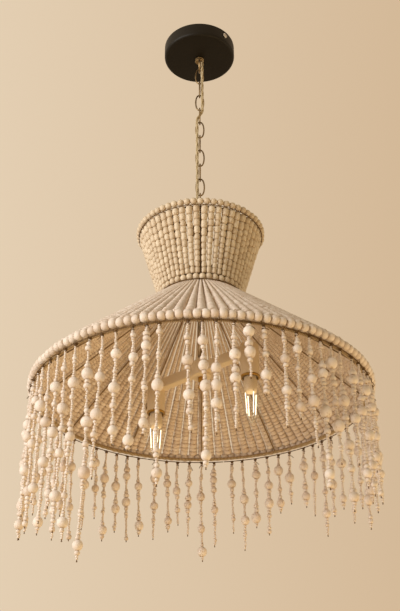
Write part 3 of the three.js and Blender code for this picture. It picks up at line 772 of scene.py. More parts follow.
frame_shapes = [
    tube(circle(*crown_wire, 120), ring_wire, 10, True),
    tube(circle(*waist_wire, 96), ring_wire, 10, True),
    tube(circle(*brim_wire, 240), brim_ring_wire, 10, True),
]
hub_foot, hub_top = hub_levels
hub_profile = [
    (nut_bore, hub_foot),
    (hub_radius - hub_ease, hub_foot),
    (hub_radius, hub_foot + hub_ease),
    (hub_radius, hub_top - hub_ease),
    (hub_radius - hub_ease, hub_top),
    (nut_bore, hub_top),
]
frame_shapes.append(turned(hub_profile, 48, True))
rib_corners = (crown_wire, waist_wire, rib_neck, rib_shoulder, brim_wire)
for k in range(rib_count):
    bearing = 360 * k / rib_count
    corners = [at(r, z, bearing) for r, z in rib_corners]
    legs = [np.linspace(a, b, n, endpoint=False) for a, b, n in zip(corners, corners[1:], rib_steps)]
    frame_shapes.append(tube(np.concatenate(legs + [corners[-1:]]), rib_wire, 8))
    frame_shapes += [weld(corners[corner], size) for corner, size in zip((0, 1, -1), rib_welds)]
for k in range(spoke_count):
    bearing = 360 * (k + 0.5) / spoke_count
    ends = [at(hub_radius - spoke_root, sum(hub_levels) / 2, bearing), at(*crown_wire, bearing)]
    frame_shapes.append(tube(np.linspace(*ends, 8), spoke_wire, 12))
    places = [at(hub_radius - weld_inset, hub_top, bearing), ends[1]]
    frame_shapes += [weld(place, size) for place, size in zip(places, spoke_welds)]
piece("wire_frame", frame_shapes, lacquer, "shade", ["shade_frame"])

nut_shape = hexagon_nut(spider_nut_radius, nut_bore, spider_nut_foot, spider_nut_height)
piece("spider_hexagon_nut", [nut_shape], brass, "shade", ["spider_nut"], 25)


# Rows of beads: turned wooden beads on a wire, washed white or cream and rubbed back, round the
# crown, the waist and the brim. The crown's are round, the waist's oval, and the brim's barrels.


def washed_wood(name, dull, pale):
    """Turned wood under a thin wash, worn through where it is rubbed and darker toward each bead's ends:
    there the wash is worn round the hole, and painted shade stands for the shadow where neighbouring beads
    meet. Each bead has its tone.
    """
    wash = Finish(name)
    bead_place = wash.node("ShaderNodeAttribute", {"attribute_name": "grain"}, output="Vector")
    bead_tone = wash.node("ShaderNodeAttribute", {"attribute_name": "tone"}, output="Fac")
    hole_wear_and_shade = wash.node("ShaderNodeAttribute", {"attribute_name": "hole"}, output="Fac")
    grain_way = {0: bead_place, 1: (1, 1, 0.16)}
    stretched = wash.node("ShaderNodeVectorMath", {"operation": "MULTIPLY"}, grain_way)
    year_lines = wash.mask(wash.noise(1500.0, stretched, 4.0), 0.42, 0.62)
    rubbed_back = wash.mask(wash.noise(260.0, bead_place, 4.0), 0.52, 0.70)
    # Real rubbed wear and grain, plus painted shade from the hole mark, which darkens each bead toward its
    # ends where neighbours meet.
    bare_and_shaded = wash.mask(rubbed_back * 0.5 + hole_wear_and_shade * 0.45 + year_lines * 0.16, 0.32, 0.95)
    return wash.coat(
        Base_Color=wash.blend(bare_and_shaded, wash.blend(bead_tone, dull, pale), (0.44, 0.285, 0.140, 1)),
        Roughness=0.5 + year_lines * 0.14,
        Normal=wash.bump(year_lines * 0.6 + rubbed_back * 0.4, 0.00012, 0.45),
    )


cream_wash = washed_wood("cream-washed wood", (0.62, 0.490, 0.345, 1), (0.745, 0.622, 0.465, 1))
white_wash = washed_wood("white-washed wood", (0.68, 0.560, 0.468, 1), (0.82, 0.730, 0.660, 1))
waist_bead_count = 41
# Each row: its radius and level, its count, a bead's radius and half length, its squareness and wood.
bead_rows = {
    "crown_beads": (0.0945, -0.3920, 60, 0.0051, 0.0048, 0.9, cream_wash),
    "waist_beads": (0.0610, -0.5010, waist_bead_count, 0.0050, 0.0045, 0.9, cream_wash),
    "brim_beads": (0.2390, -0.6630, 138, 0.0062, 0.0053, 0.62, white_wash),
}
row_scatter = 0.05
row_lift = 0.00025
row_unevenness = 0.0002
row_size_share = 0.025
bead_hole = 0.30
hole_fade = 5
tone_spread_share = 0.26


def across_axis(axes, rng):
    """Two ways across each axis, turned at random about it."""
    seed = rng.normal(size=axes.shape)
    across = np.cross(axes, seed)
    across /= np.linalg.norm(across, axis=1)[:, None]
    return across, np.cross(axes, across)


def beads(middles, axes, radii, halves, rng, sides=10, rings=6, square=1.0, paleness=0.55, leaning=0.05):
    """Many beads as one shape, with the marks that the wood's finish reads. square under 1 makes barrels."""
    middles, axes = np.asarray(middles, float), np.asarray(axes, float)
    radii, halves = np.asarray(radii, float), np.asarray(halves, float)
    count = len(middles)
    lean = axes + rng.normal(scale=leaning, size=axes.shape)
    lean /= np.linalg.norm(lean, axis=1)[:, None]
    across, other = across_axis(lean, rng)
    fall = np.linspace(bead_hole, math.pi - bead_hole, rings)
    out = np.sin(fall) ** square
    along = -np.cos(fall) / math.cos(bead_hole)
    turn = np.arange(sides) * 2 * math.pi / sides
    x = radii[:, None, None] * out[None, :, None] * np.cos(turn)
    y = radii[:, None, None] * out[None, :, None] * np.sin(turn)
    z = np.broadcast_to((halves[:, None] * along)[:, :, None], x.shape)
    points = (
        middles[:, None, None]
        + x[..., None] * across[:, None, None]
        + y[..., None] * other[:, None, None]
        + z[..., None] * lean[:, None, None]
    )
    index = np.arange(count * rings * sides).reshape(count, rings, sides)
    quads = skin(index[:, :-1], index[:, 1:])
    shift = rng.uniform(-1, 1, (count, 3))[:, None, None]
    marks = {
        "grain": (np.stack([x, y, z], 3) + shift).reshape(-1, 3),
        "tone": np.repeat(np.clip(rng.normal(paleness, tone_spread_share, count), 0, 1), rings * sides),
        "hole": np.broadcast_to(np.abs(along)[None, :, None] ** hole_fade, x.shape).ravel(),
    }
    return (points.reshape(-1, 3), [quads, index[:, 0, ::-1], index[:, -1]]), marks


def gathered(strings):
    """The shapes and the marks of several strings of beads, as piece() wants them."""
    marks = {mark: np.concatenate([values[mark] for _, values in strings]) for mark in strings[0][1]}
    return [shape for shape, _ in strings], marks


for name, (radius, level, count, bead, half, square, wood) in bead_rows.items():
    bearing = np.radians(np.arange(count) * 360 / count + rng.normal(0, row_scatter, count))
    lift = rng.normal(0, row_lift, count)
    reach = radius + rng.normal(0, row_unevenness, count)
    middles = np.stack([reach * np.cos(bearing), reach * np.sin(bearing), level + lift], 1)
    axes = np.stack([-np.sin(bearing), np.cos(bearing), np.zeros(count)], 1)
    size = rng.normal(1, row_size_share, count)
    shape, marks = beads(middles, axes, bead * size, np.full(count, half), rng, 16, 9, square)
    piece("row_of_" + name, [shape], wood, "shade", [name], None, marks)


# Strings of the crown: fifty-two, from the crown row in to the waist row. Their beads shrink on
# the way down, and the threads are tied off to the rings with thin wire.
crown_string_count = 52
crown_panel_count = 4
crown_scatter = 0.10
rib_gap = 1.1
thread_radius = 0.0006
bow_size = 0.0004
bow_unevenness = 0.00008
string_leaning = 0.02
pitch_shares = (0.8, 1.2)
wide_shares = (0.95, 1.05)
crown_panel = dict(
    ends=((0.0901, -0.3960), (0.0625, -0.4961)),
    sizes=(0.0104, 0.0069),
    tall_share=1.15,
    square=0.32,
    paleness=0.5,
    pull=0.12,
    wood=cream_wash,
)

jute = Finish("waxed thread")
twist = jute.noise(900.0, detail=2.0)
jute.coat(
    Base_Color=jute.blend(twist, (0.46, 0.33, 0.18, 1), (0.68, 0.52, 0.32, 1)),
    Roughness=0.85,
    Normal=jute.bump(twist, 0.0002, 0.8),
)


def strung(length, size_at, tall_share, rng):
    """Beads from the top of a string down: how far down each middle is, how wide it is and how long."""
    pitch = []
    while sum(pitch) < length:
        pitch.append(size_at(sum(pitch) / length) * tall_share * rng.uniform(*pitch_shares))
    pitch = np.array(pitch[:-1] if sum(pitch) - length > pitch[-1] / 2 else pitch)
    pitch *= length / pitch.sum()
    down = np.cumsum(pitch) - pitch / 2
    wide = size_at(down / length) * rng.uniform(*wide_shares, len(down))
    return down, wide, pitch


def panel_of_strings(name, node, bearings, rng, ends, sizes, tall_share, square, paleness, pull, wood):
    """Strings side by side from one row of beads to the next, and the threads that they are on."""
    look = (10, 6, square, paleness, string_leaning)
    strings = []
    threads = []
    for bearing in bearings:
        top, foot = at(*ends[0], bearing), at(*ends[1], bearing + rng.normal(0, pull))
        length = np.linalg.norm(foot - top)
        way = (foot - top) / length
        side = at(1, 0, bearing + 90)
        down, wide, pitch = strung(length, lambda t: sizes[0] + (sizes[1] - sizes[0]) * t, tall_share, rng)
        bow = rng.normal(0, bow_size) * np.sin(math.pi * down / length)
        bow += rng.normal(0, bow_unevenness, len(down))
        middles = top + down[:, None] * way + bow[:, None] * side
        axes = np.repeat(way[None], len(down), 0)
        strings.append(beads(middles, axes, wide / 2, pitch / 2, rng, *look))
        threads.append(tube(np.vstack([top, middles, foot]), thread_radius, 5))
    shapes, marks = gathered(strings)
    piece(name, shapes, wood, "shade", [node], None, marks)
    piece(name + "_threads", threads, jute, "shade")


for number in range(crown_panel_count):
    in_panel = crown_string_count // crown_panel_count
    panel_turn = 360 / crown_panel_count
    start = number * panel_turn + rib_gap / 2
    bearings = start + (np.arange(in_panel) + 0.5) * (panel_turn - rib_gap) / in_panel
    bearings += rng.normal(0, crown_scatter, in_panel)
    names = (f"crown_bead_strings_{number + 1}", f"crown_strings_{number + 1}")
    panel_of_strings(*names, bearings, rng, **crown_panel)


# Strings of the cone: a hundred and two, fanned out from the waist row to the brim row. Their
# beads grow from seed size at the waist, so each string widens like a finger, and near the brim
# they almost meet.
cone_string_count = 102
cone_panel_count = 6
cone_scatter = 0.05
cone_panel = dict(
    ends=((0.0610, -0.5078), (0.2345, -0.6589)),
    sizes=(0.0027, 0.0139),
    tall_share=0.50,
    square=0.20,
    paleness=0.3,
    pull=0.08,
    wood=white_wash,
)

for number in range(cone_panel_count):
    in_panel = cone_string_count // cone_panel_count
    bearings = (number * in_panel + np.arange(in_panel) + 0.5) * 360 / cone_string_count
    bearings += rng.normal(0, cone_scatter, in_panel)
    names = (f"cone_bead_strings_{number + 1}", f"cone_strings_{number + 1}")
    panel_of_strings(*names, bearings, rng, **cone_panel)


# Ties: thin dark wire that binds the strings to the rings, drawn tight under the crown row and
# the waist row, with a knot between each two waist beads. Round the brim ring it is jute instead.
tie_wire = 0.0005
tie_reach = 0.0022
tie_sweep = 680
tie_steps = 22
tie_lead = 0.0009
tie_scatter = 0.25
# Each binding: its radius and level, its wire's radius and its steps round.
bound_rows = [(0.0949, -0.3985, 0.0006, 120), (0.0640, -0.5071, 0.0007, 96)]
waist_knot = (0.0642, -0.5070)
waist_knot_sizes = (0.0012, 0.0018)
wrap_radius = 0.0006
wrap_seat_share = 0.7
wrap_turns = 620
wrap_steps = 8

dark_wire = Finish("dark tie wire")
worn = dark_wire.mask(dark_wire.noise(200.0, detail=4.0), 0.5, 0.72)
dark_wire.coat(
    Base_Color=dark_wire.blend(worn, (0.120, 0.065, 0.025, 1), (0.250, 0.150, 0.068, 1)),
    Roughness=0.6 + worn * 0.2,
    Specular_IOR_Level=0.2,
    Normal=dark_wire.bump(dark_wire.noise(1800.0), 0.00005, 0.6),
)

tie_shapes = [tube(circle(radius, z, steps), wire, 6, True) for radius, z, wire, steps in bound_rows]
tie_turn = np.radians(np.linspace(0, tie_sweep, tie_steps))
tie_along = np.linspace(-tie_lead, tie_lead, tie_steps)
tie_coil = np.stack([tie_reach * np.cos(tie_turn), tie_along, tie_reach * np.sin(tie_turn)], 1)
for radius, z in (crown_wire, waist_wire):
    for k in range(crown_string_count):
        bearing = 360 * (k + 0.5) / crown_string_count + rng.normal(0, tie_scatter)
        stand = Matrix.Rotation(math.radians(bearing), 4, "Z") @ Matrix.Translation((radius, 0, z))
        tie_shapes.append(placed(tube(tie_coil, tie_wire, 5), stand))
for k in range(waist_bead_count):
    bearing = 360 * (k + 0.5) / waist_bead_count
    tie_shapes.append(weld(at(*waist_knot, bearing), rng.uniform(*waist_knot_sizes)))
piece("binding_wire", tie_shapes, dark_wire, "shade", (), None)

wrap_run = np.linspace(0, 1, wrap_steps * wrap_turns, endpoint=False)
wrap_turn = 2 * math.pi * wrap_turns * wrap_run
wrap_reach = brim_ring_wire + wrap_radius * wrap_seat_share
wrap_out = brim_wire[0] + wrap_reach * np.cos(wrap_turn)
wrap_level = brim_wire[1] + wrap_reach * np.sin(wrap_turn)
wrap_bearing = 2 * math.pi * wrap_run
wrap_path = np.stack([wrap_out * np.cos(wrap_bearing), wrap_out * np.sin(wrap_bearing), wrap_level], 1)
piece("brim_ring_wrap", [tube(wrap_path, wrap_radius, 5, True)], jute, "shade", (), None)


# Fringe: seventy-two strings of irregular beads, tied with twists of brown wire to twelve lengths
# of the same wire under the brim row. Each length swings on its own. A string's row gives its
# bearing, its length as a share of the longest, and how far down its large beads are.
fringe_level = -0.6715
fringe_radius = 0.2390
fringe_length = 0.283
large_bead = 0.015
large_wide_shares = (0.76, 1.02)
large_tall_shares = (0.94, 1.10)
large_from = 0.0115
# Sides and rings of a bead, its squareness and its paleness.
large_look = (18, 10, 1.0, 0.72)
small_look = (10, 6, 0.6, 0.62)
thin_bead = 0.0034
half_small = 0.002
widest_small = 0.0108
small_wide_shares = (0.96, 1.04)
small_tall_shares = (0.72, 0.98)
swell_starts = (0.008, 0.026)
swell_steps = (0.022, 0.042)
swell_heights = (0.0020, 0.0068)
swell_spreads = (0.0038, 0.0064)
shoulder_heights = (0.0010, 0.0050)
shoulder_reach = 0.0050
string_ends = (0.0035, 0.002)
least_room = 0.003
header_wire = 0.0007
header_gap = 0.0007
knot_drop = 0.0065
knot_size = 0.0021
knot_seat = 0.0009
tail_drop = 0.0022
tail_size = 0.0010
tie_start = 0.0004
tie_reaches = (0.0024, 0.0016)
tie_points = 40
tie_turns = (14, 20)
tie_waver_share = 0.3
tie_waver_steps = (0.3, 0.6)
knot_drop_shares = (0.7, 1.2)
loose_from = 30
loose_lengths = (0.003, 0.006)
loose_falls = (-0.004, -0.0005)
loose_spread = 75
loose_bend_share = 0.6
loose_sags = (0.0012, 0.0030)
loose_wire = 0.0005
twist_wire = 0.00055
sway_size = 0.0014
sway_wave = 0.045
sway_lean_share = 0.011
drift_size = 0.0008
drift_wave = 0.057
string_unevenness = 0.0003
held_length = 0.02
any_phase = (0, 6)
section_count = 12
section_turn = -83.5
fringe_shares = [
    (-93.8, 0.52, (0.36, 0.7)),
    (-89.6, 0.68, (0.12, 0.31, 0.46, 0.95)),
    (-85.7, 0.53, (0.43, 0.6, 0.77)),
    (-80.4, 0.51, (0.3, 0.54)),
    (-75.8, 0.27, (0.1, 0.56)),
    (-71.4, 0.34, (0.76,)),
    (-65.2, 0.47, (0.3, 0.66)),
    (-60.4, 0.42, (0.18, 0.92)),
    (-55.6, 0.53, (0.4, 0.62)),
    (-51.2, 0.7, (0.22, 0.5, 0.94)),
    (-46.4, 0.57, (0.14, 0.72)),
    (-42, 0.76, (0.33, 0.62, 0.95)),
    (-35.4, 0.53, (0.2, 0.6)),
    (-30.6, 0.61, (0.4, 0.93)),
    (-25.8, 0.63, (0.16, 0.55, 0.8)),
    (-21.2, 0.49, (0.35, 0.9)),
    (-16.4, 0.59, (0.5, 0.72)),
    (-11.8, 0.53, (0.24, 0.9)),
    (-5.4, 0.57, (0.32, 0.6)),
    (-0.6, 0.45, (0.18, 0.92)),
    (4.2, 0.56, (0.42, 0.66)),
    (8.8, 0.49, (0.26, 0.9)),
    (13.6, 0.6, (0.5, 0.78)),
    (18.2, 0.47, (0.34,)),
    (24.6, 0.52, (0.22, 0.7)),
    (29.4, 0.42, (0.4, 0.92)),
    (34.4, 0.44, (0.3, 0.62)),
    (39.2, 0.53, (0.16, 0.8)),
    (43.8, 0.4, (0.44,)),
    (48.2, 0.34, (0.28, 0.88)),
    (54.6, 0.3, (0.5,)),
    (59.4, 0.34, (0.24, 0.9)),
    (64.2, 0.45, (0.36, 0.62)),
    (69, 0.4, (0.2, 0.92)),
    (74.2, 0.52, (0.44, 0.7)),
    (78.2, 0.42, (0.3,)),
    (85.2, 0.49, (0.18, 0.58)),
    (90, 0.57, (0.34, 0.7, 0.95)),
    (94.8, 0.43, (0.26, 0.6)),
    (99.4, 0.37, (0.46,)),
    (103.8, 0.41, (0.3, 0.9)),
    (108.2, 0.46, (0.2, 0.6)),
    (115, 0.45, (0.36, 0.92)),
    (119.6, 0.49, (0.22, 0.56)),
    (124.2, 0.45, (0.42, 0.74)),
    (128.8, 0.51, (0.3, 0.93)),
    (133.4, 0.4, (0.18, 0.6)),
    (138, 0.48, (0.48,)),
    (144.8, 0.56, (0.26, 0.7)),
    (149.6, 0.45, (0.38, 0.92)),
    (154.4, 0.59, (0.2, 0.5, 0.76)),
    (159, 0.5, (0.34,)),
    (163.6, 0.61, (0.46, 0.93)),
    (168.2, 0.53, (0.22, 0.66)),
    (174.8, 0.65, (0.3, 0.58)),
    (179.6, 0.57, (0.42, 0.94)),
    (184.4, 0.72, (0.2, 0.52, 0.8)),
    (189, 0.62, (0.36, 0.62)),
    (193.6, 0.76, (0.26, 0.56, 0.94)),
    (198.2, 0.67, (0.44, 0.7)),
    (204.8, 0.76, (0.18, 0.48, 0.8)),
    (209.4, 0.66, (0.3, 0.94)),
    (214.8, 0.78, (0.4, 0.66)),
    (219.6, 0.73, (0.22, 0.54, 0.95)),
    (223.6, 0.85, (0.34, 0.6, 0.84)),
    (228.4, 0.9, (0.2, 0.5, 0.94)),
    (234.4, 1, (0.16, 0.4, 0.64, 0.96)),
    (239, 0.67, (0.3, 0.58)),
    (243.8, 0.54, (0.19, 0.52, 0.92)),
    (249.4, 0.58, (0.24, 0.96)),
    (253.8, 0.52, (0.17, 0.94)),
    (257.6, 0.74, (0.4, 0.96)),
]


def uneven_beads(length, large_shares, rng):
    """Beads down a fringe string: middles, widths and lengths. Small ones grow toward each large one."""
    middles, widths, lengths = [], [], []
    stops = [string_ends[0]]
    for share in large_shares:
        wide = large_bead * rng.uniform(*large_wide_shares)
        tall = wide * rng.uniform(*large_tall_shares)
        middle = large_bead / 2 + (length - large_bead) * share
        middles.append(middle)
        widths.append(wide)
        lengths.append(tall)
        stops += [middle - tall / 2, middle + tall / 2]
    stops.append(length - string_ends[1])
    for start, end in zip(stops[::2], stops[1::2]):
        room = end - start
        if room < least_room:
            continue
        swells = np.arange(rng.uniform(*swell_starts), room, rng.uniform(*swell_steps))
        heights = rng.uniform(*swell_heights, len(swells))
        spread = rng.uniform(*swell_spreads)
        after = rng.uniform(*shoulder_heights) if start > stops[0] else 0
        before = rng.uniform(*shoulder_heights) if end < stops[-1] else 0
        sizes = []
        pitch = []
        while sum(pitch) < room:
            down = sum(pitch) + half_small
            near = math.exp(-((down / shoulder_reach) ** 2))
            far = math.exp(-(((room - down) / shoulder_reach) ** 2))
            size = thin_bead + float(np.sum(heights * np.exp(-(((down - swells) / spread) ** 2))))
            size += after * near + before * far
            sizes.append(min(size, widest_small) * rng.uniform(*small_wide_shares))
            pitch.append(sizes[-1] * rng.uniform(*small_tall_shares))
        pitch = np.array(pitch) * room / sum(pitch)
        middles += list(start + np.cumsum(pitch) - pitch / 2)
        widths += sizes
        lengths += list(pitch)
    order = np.argsort(middles)
    return np.array(middles)[order], np.array(widths)[order], np.array(lengths)[order]


def twisted_tie(top, bearing, rng):
    """A twist of wire from the ring down round the first beads, and its loose end, which points outward."""
    turn = np.linspace(0, rng.uniform(*tie_turns), tie_points) + rng.uniform(*any_phase)
    waver = np.sin(turn * rng.uniform(*tie_waver_steps))
    reach = np.linspace(*tie_reaches, tie_points) * (1 + tie_waver_share * waver)
    drop = np.linspace(tie_start, -knot_drop * rng.uniform(*knot_drop_shares), tie_points)
    twist = top + np.stack([reach * np.cos(turn), reach * np.sin(turn), drop], 1)
    length, fall = rng.uniform(*loose_lengths), rng.uniform(*loose_falls)
    away = at(length, fall, bearing + rng.uniform(-loose_spread, loose_spread))
    root = twist[loose_from]
    bend = root + away * loose_bend_share - (0, 0, loose_sags[0])
    loose = through([root, bend, root + away - (0, 0, loose_sags[1])], 6)
    return [tube(twist, twist_wire, 5), tube(loose, loose_wire, 5)]


def hanging(down, bearing, rng):
    """Places down a string that sways along the brim, drifts in and out of it, and is held at its top."""
    sway = sway_size * np.sin(down / sway_wave + rng.uniform(*any_phase))
    sway += rng.normal(0, string_unevenness, len(down))
    sway += rng.normal(0, sway_lean_share) * down
    drift = drift_size * np.sin(down / drift_wave + rng.uniform(*any_phase))
    drift += rng.normal(0, string_unevenness, len(down))
    held = np.clip(down / held_length, 0, 1)
    top = at(fringe_radius, fringe_level, bearing)
    out, side = at(1, 0, bearing), at(1, 0, bearing + 90)
    return top + np.outer(sway * held, side) + np.outer(drift * held, out) - np.outer(down, (0, 0, 1))


for number in range(section_count):
    section_span = 360 / section_count
    start = section_turn + section_span * number - section_span / 2
    mine = [row for row in fringe_shares if (row[0] - start) % 360 < section_span]
    margin = math.degrees(header_gap / fringe_radius)
    header = circle(fringe_radius, fringe_level, 14, start + margin, start + section_span - margin)
    strings = []
    threads = []
    ties = [tube(header, header_wire, 10)]
    for bearing, share, large_shares in mine:
        down, wide, tall = uneven_beads(fringe_length * share, large_shares, rng)
        top = at(fringe_radius, fringe_level, bearing)
        middles = hanging(down, bearing, rng)
        axes = np.gradient(middles, axis=0)
        axes /= np.linalg.norm(axes, axis=1)[:, None]
        for some, look in ((wide > large_from, large_look), (wide <= large_from, small_look)):
            strings.append(beads(middles[some], axes[some], wide[some] / 2, tall[some] / 2, rng, *look))
        tail = middles[-1] - (0, 0, tall[-1] / 2 + tail_drop)
        threads += [tube(np.vstack([top, middles, tail]), thread_radius, 5), weld(tail, tail_size)]
        ties += twisted_tie(top, bearing, rng) + [weld(top - (0, 0, header_wire + knot_seat), knot_size)]
    body = f"fringe_part_{number + 1:02d}"
    node = f"fringe_{number + 1:02d}"
    shapes, marks = gathered(strings)
    piece(f"fringe_beads_{number + 1:02d}", shapes, white_wash, body, [node], None, marks)
    piece(f"fringe_threads_{number + 1:02d}", threads, dark_wire, body, (), 50)
    piece(f"fringe_wire_{number + 1:02d}", ties, dark_wire, body, (), 50)


# Lamp cluster: a drum of pressed steel in cream enamel, screwed on the stem's foot. A stepped
# cap closes it above, and a turned brass finial below.
cluster_top = -0.6135
drum_radius = 0.0145
drum_foot = -0.6345
drum_bore = 0.0054
drum_ease = 0.0015
drum_inset = 0.0022
drum_top_ease = 0.0008
drum_groove = ((0, 0.0035), (0.0006, 0.0031), (0.0006, 0.0026), (0, 0.0022))
bore_floor = -0.6255
top_cap_foot = -0.6132
# Outlines of the cap and of the finial, as radius and height.
top_cap_outline = [
    (0.0125, 0.0000),
    (0.0125, 0.0022),
    (0.0119, 0.0028),
    (0.0110, 0.0034),
    (0.0092, 0.0050),
    (0.0080, 0.0062),
    (0.0075, 0.0066),
    (0.0075, 0.0074),
    (0.0069, 0.0077),
]
finial_top = -0.6348
finial_outline = [
    (0.0000, -0.0200),
    (0.0016, -0.0199),
    (0.0030, -0.0192),
    (0.0042, -0.0172),
    (0.0047, -0.0145),
    (0.0043, -0.0117),
    (0.0032, -0.0096),
    (0.0026, -0.0085),
    (0.0028, -0.0076),
    (0.0046, -0.0062),
    (0.0047, -0.0050),
    (0.0047, -0.0004),
    (0.0043, 0.0000),
    (0.0000, 0.0000),
]
cluster_turn = -42

enamel = Finish("cream enamel")
uneven = enamel.noise(40.0, detail=4.0)
speck = enamel.mask(enamel.noise(700.0), 0.66, 0.74)
enamel.coat(
    Base_Color=enamel.blend(
        speck * 0.25,
        enamel.blend(uneven, (0.66, 0.520, 0.350, 1), (0.74, 0.600, 0.420, 1)),
        (0.30, 0.19, 0.09, 1),
    ),
    Roughness=0.38 + uneven * 0.12,
    Normal=enamel.bump(enamel.noise(600.0), 0.00006, 0.5),
)
gilt = Finish("bright brass")
swirl = gilt.noise(240.0)
gilt.coat(
    Base_Color=gilt.blend(swirl, (0.40, 0.23, 0.055, 1), (0.50, 0.30, 0.08, 1)),
    Metallic=1.0,
    Roughness=0.30 + swirl * 0.14,
    Normal=gilt.bump(gilt.noise(2000.0), 0.00003, 0.4),
)

drum_profile = [(0, drum_foot), (drum_radius - drum_inset, drum_foot)]
drum_profile += rounded((drum_radius - drum_ease, drum_foot + drum_ease), drum_ease, -90, 0, 5)
drum_profile += [(drum_radius - deep, cluster_top - down) for deep, down in drum_groove]
drum_shoulder = (drum_radius - drum_top_ease, cluster_top - drum_top_ease)
drum_profile += rounded(drum_shoulder, drum_top_ease, 0, 90, 4)
drum_profile += [(drum_bore, cluster_top), (drum_bore, bore_floor), (0, bore_floor)]
piece("cluster_drum", [turned(drum_profile, 64)], enamel, "shade", ["cluster_body"])

top_cap_section = [(drum_bore, 0), *top_cap_outline, (drum_bore, top_cap_outline[-1][1])]
top_cap_profile = [(r, top_cap_foot + rise) for r, rise in top_cap_section]
top_cap = turned(top_cap_profile, 64, True)
piece("cluster_top_cap", [top_cap], enamel, "shade", ["cluster_cap"])

finial_shape = turned([(r, finial_top + z) for r, z in finial_outline], 40)
piece("turned_finial", [finial_shape], gilt, "shade", ["finial"], 50)


# Arms: two flat bars with rounded edges, riveted to the drum, each ending in a cup round its
# lampholder. Cream enamel like the drum, with a brass rim on each cup.
arm_reach = 0.090
arm_width = 0.013
arm_height = 0.016
arm_ease = 0.0022
arm_seat = 0.0003
arm_end = 0.008
arm_stops = ((0.03, 0.93), (0.05, 0.93))
holder_radius = 0.013
holder_length = 0.048
holder_wall = 0.002
holder_depth = 0.009
holder_bore = 0.0076
holder_ease = 0.002
holder_groove = ((0, 0.0150), (0.0004, 0.0146), (0.0004, 0.0140), (0, 0.0136))
bore_roof = -0.0234
rim_top = -0.0483
rim_height = 0.003
rim_radius = 0.0135
rim_ease = 0.0004
rim_hollow = 0.0003
rim_edge = 0.0005


def arm_beam():
    """The bar from the drum to the cup: a rounded section, set out along X and slimmer in the middle."""
    across, up = (rounded_oblong(arm_width, arm_height, arm_ease, steps=5) - (0, arm_height / 2)).T
    start = np.sqrt((drum_radius + arm_seat) ** 2 - across**2)
    stops = [(start, 1.0), *arm_stops, (arm_reach - arm_end, 1.0)]
    return stacked([np.column_stack([out + 0 * across, across * slim, up]) for out, slim in stops])


cup_roof = -holder_length + holder_depth
holder_profile = [(0, bore_roof), (holder_bore, bore_roof), (holder_bore, cup_roof)]
holder_profile += [(holder_radius - holder_wall, cup_roof), (holder_radius - holder_wall, -holder_length)]
holder_profile += [(holder_radius, -holder_length)]
holder_profile += [(holder_radius - deep, -down) for deep, down in holder_groove]
holder_profile += rounded((holder_radius - holder_ease, -holder_ease), holder_ease, 0, 90, 6) + [(0, 0)]
rim_foot = rim_top - rim_height
rim_profile = [
    (holder_radius - holder_wall, rim_foot),
    (rim_radius - rim_ease, rim_foot),
    (rim_radius, rim_foot + rim_edge),
    (rim_radius - rim_hollow, rim_top - rim_height / 2),
    (rim_radius, rim_top - rim_edge),
    (rim_radius - rim_ease, rim_top),
    (holder_radius - holder_wall, rim_top),
]
lamp_places = {}
for side, bearing in (("right", cluster_turn), ("left", cluster_turn + 180)):
    turn = Matrix.Rotation(math.radians(bearing), 4, "Z")
    arm_place = Matrix.Translation((0, 0, cluster_top)) @ turn
    lamp_places[side] = arm_place @ Matrix.Translation((arm_reach, 0, 0))
    arm_shapes = [placed(arm_beam(), arm_place), placed(turned(holder_profile, 56), lamp_places[side])]
    piece(f"arm_and_holder_{side}", arm_shapes, enamel, "shade", [f"arm_{side}"])
    rim = placed(turned(rim_profile, 56, True), lamp_places[side])
    piece(f"holder_rim_{side}", [rim], gilt, "shade", [f"socket_rim_{side}"])


# Candle bulbs: clear glass on a small screw cap. Four glowing strips hang from a pale moulded
# collar in the bulb's neck, on fine wires that gather under them.
bulb_top = -0.042
bulb_outline_shares = [
    (0, 0.40),
    (0.03, 0.47),
    (0.07, 0.545),
    (0.11, 0.585),
    (0.15, 0.65),
    (0.19, 0.75),
    (0.24, 0.87),
    (0.30, 0.96),
    (0.36, 1.00),
    (0.44, 0.99),
    (0.54, 0.93),
    (0.64, 0.83),
    (0.74, 0.69),
    (0.82, 0.545),
    (0.89, 0.39),
    (0.94, 0.265),
    (0.975, 0.165),
    (0.992, 0.085),
]
bulb_radius = 0.0175
bulb_length = 0.082
glass_wall = 0.0008
cap_radius = 0.007
cap_length = 0.018
cap_pitch = 0.0028
cap_groove = 0.0004
cap_start = [(0, 0.0003), (0.0064, 0.0003), (0.0064, 0.0016)]
cap_tip = ((0.0058, 0.0038), (0.0030, 0.0018), (0.0028, 0.0004), (0, 0))
cap_thread_ends = (0.002, 0.0055)
strip_ends = (-0.031, -0.063)
strip_spread = (0.009, 0.0065)
strip_inset = 0.0006
strip_radius = 0.0007
strip_turn = 67
strip_count = 4
strip_start_share = 0.06
strip_wire = 0.0004
wire_rise = 0.0012
wire_end_share = 0.08
wire_step = 0.001
bend_share = 0.72
bend_out = 0.0009
tail_length = 0.013
tail_radius = 0.0006
collar_outline = [
    (0.0000, -0.0320),
    (0.0052, -0.0316),
    (0.0082, -0.0300),
    (0.0094, -0.0270),
    (0.0095, -0.0200),
    (0.0090, -0.0130),
    (0.0080, -0.0070),
    (0.0062, -0.0030),
    (0.0058, 0.0000),
    (0.0000, 0.0000),
]
glow_watts = 0.01
glow_tint = (1.0, 0.76, 0.42)
glow_radius = 0.012

glass = Finish("clear glass")
glass.coat(
    Base_Color=(0.50, 0.46, 0.38, 1),
    Roughness=0.05,
    Specular_IOR_Level=0.08,
    Alpha=0.03 + glass.node("ShaderNodeLayerWeight", {}, {"Blend": 0.25}, "Facing") ** 3.0 * 0.30,
)

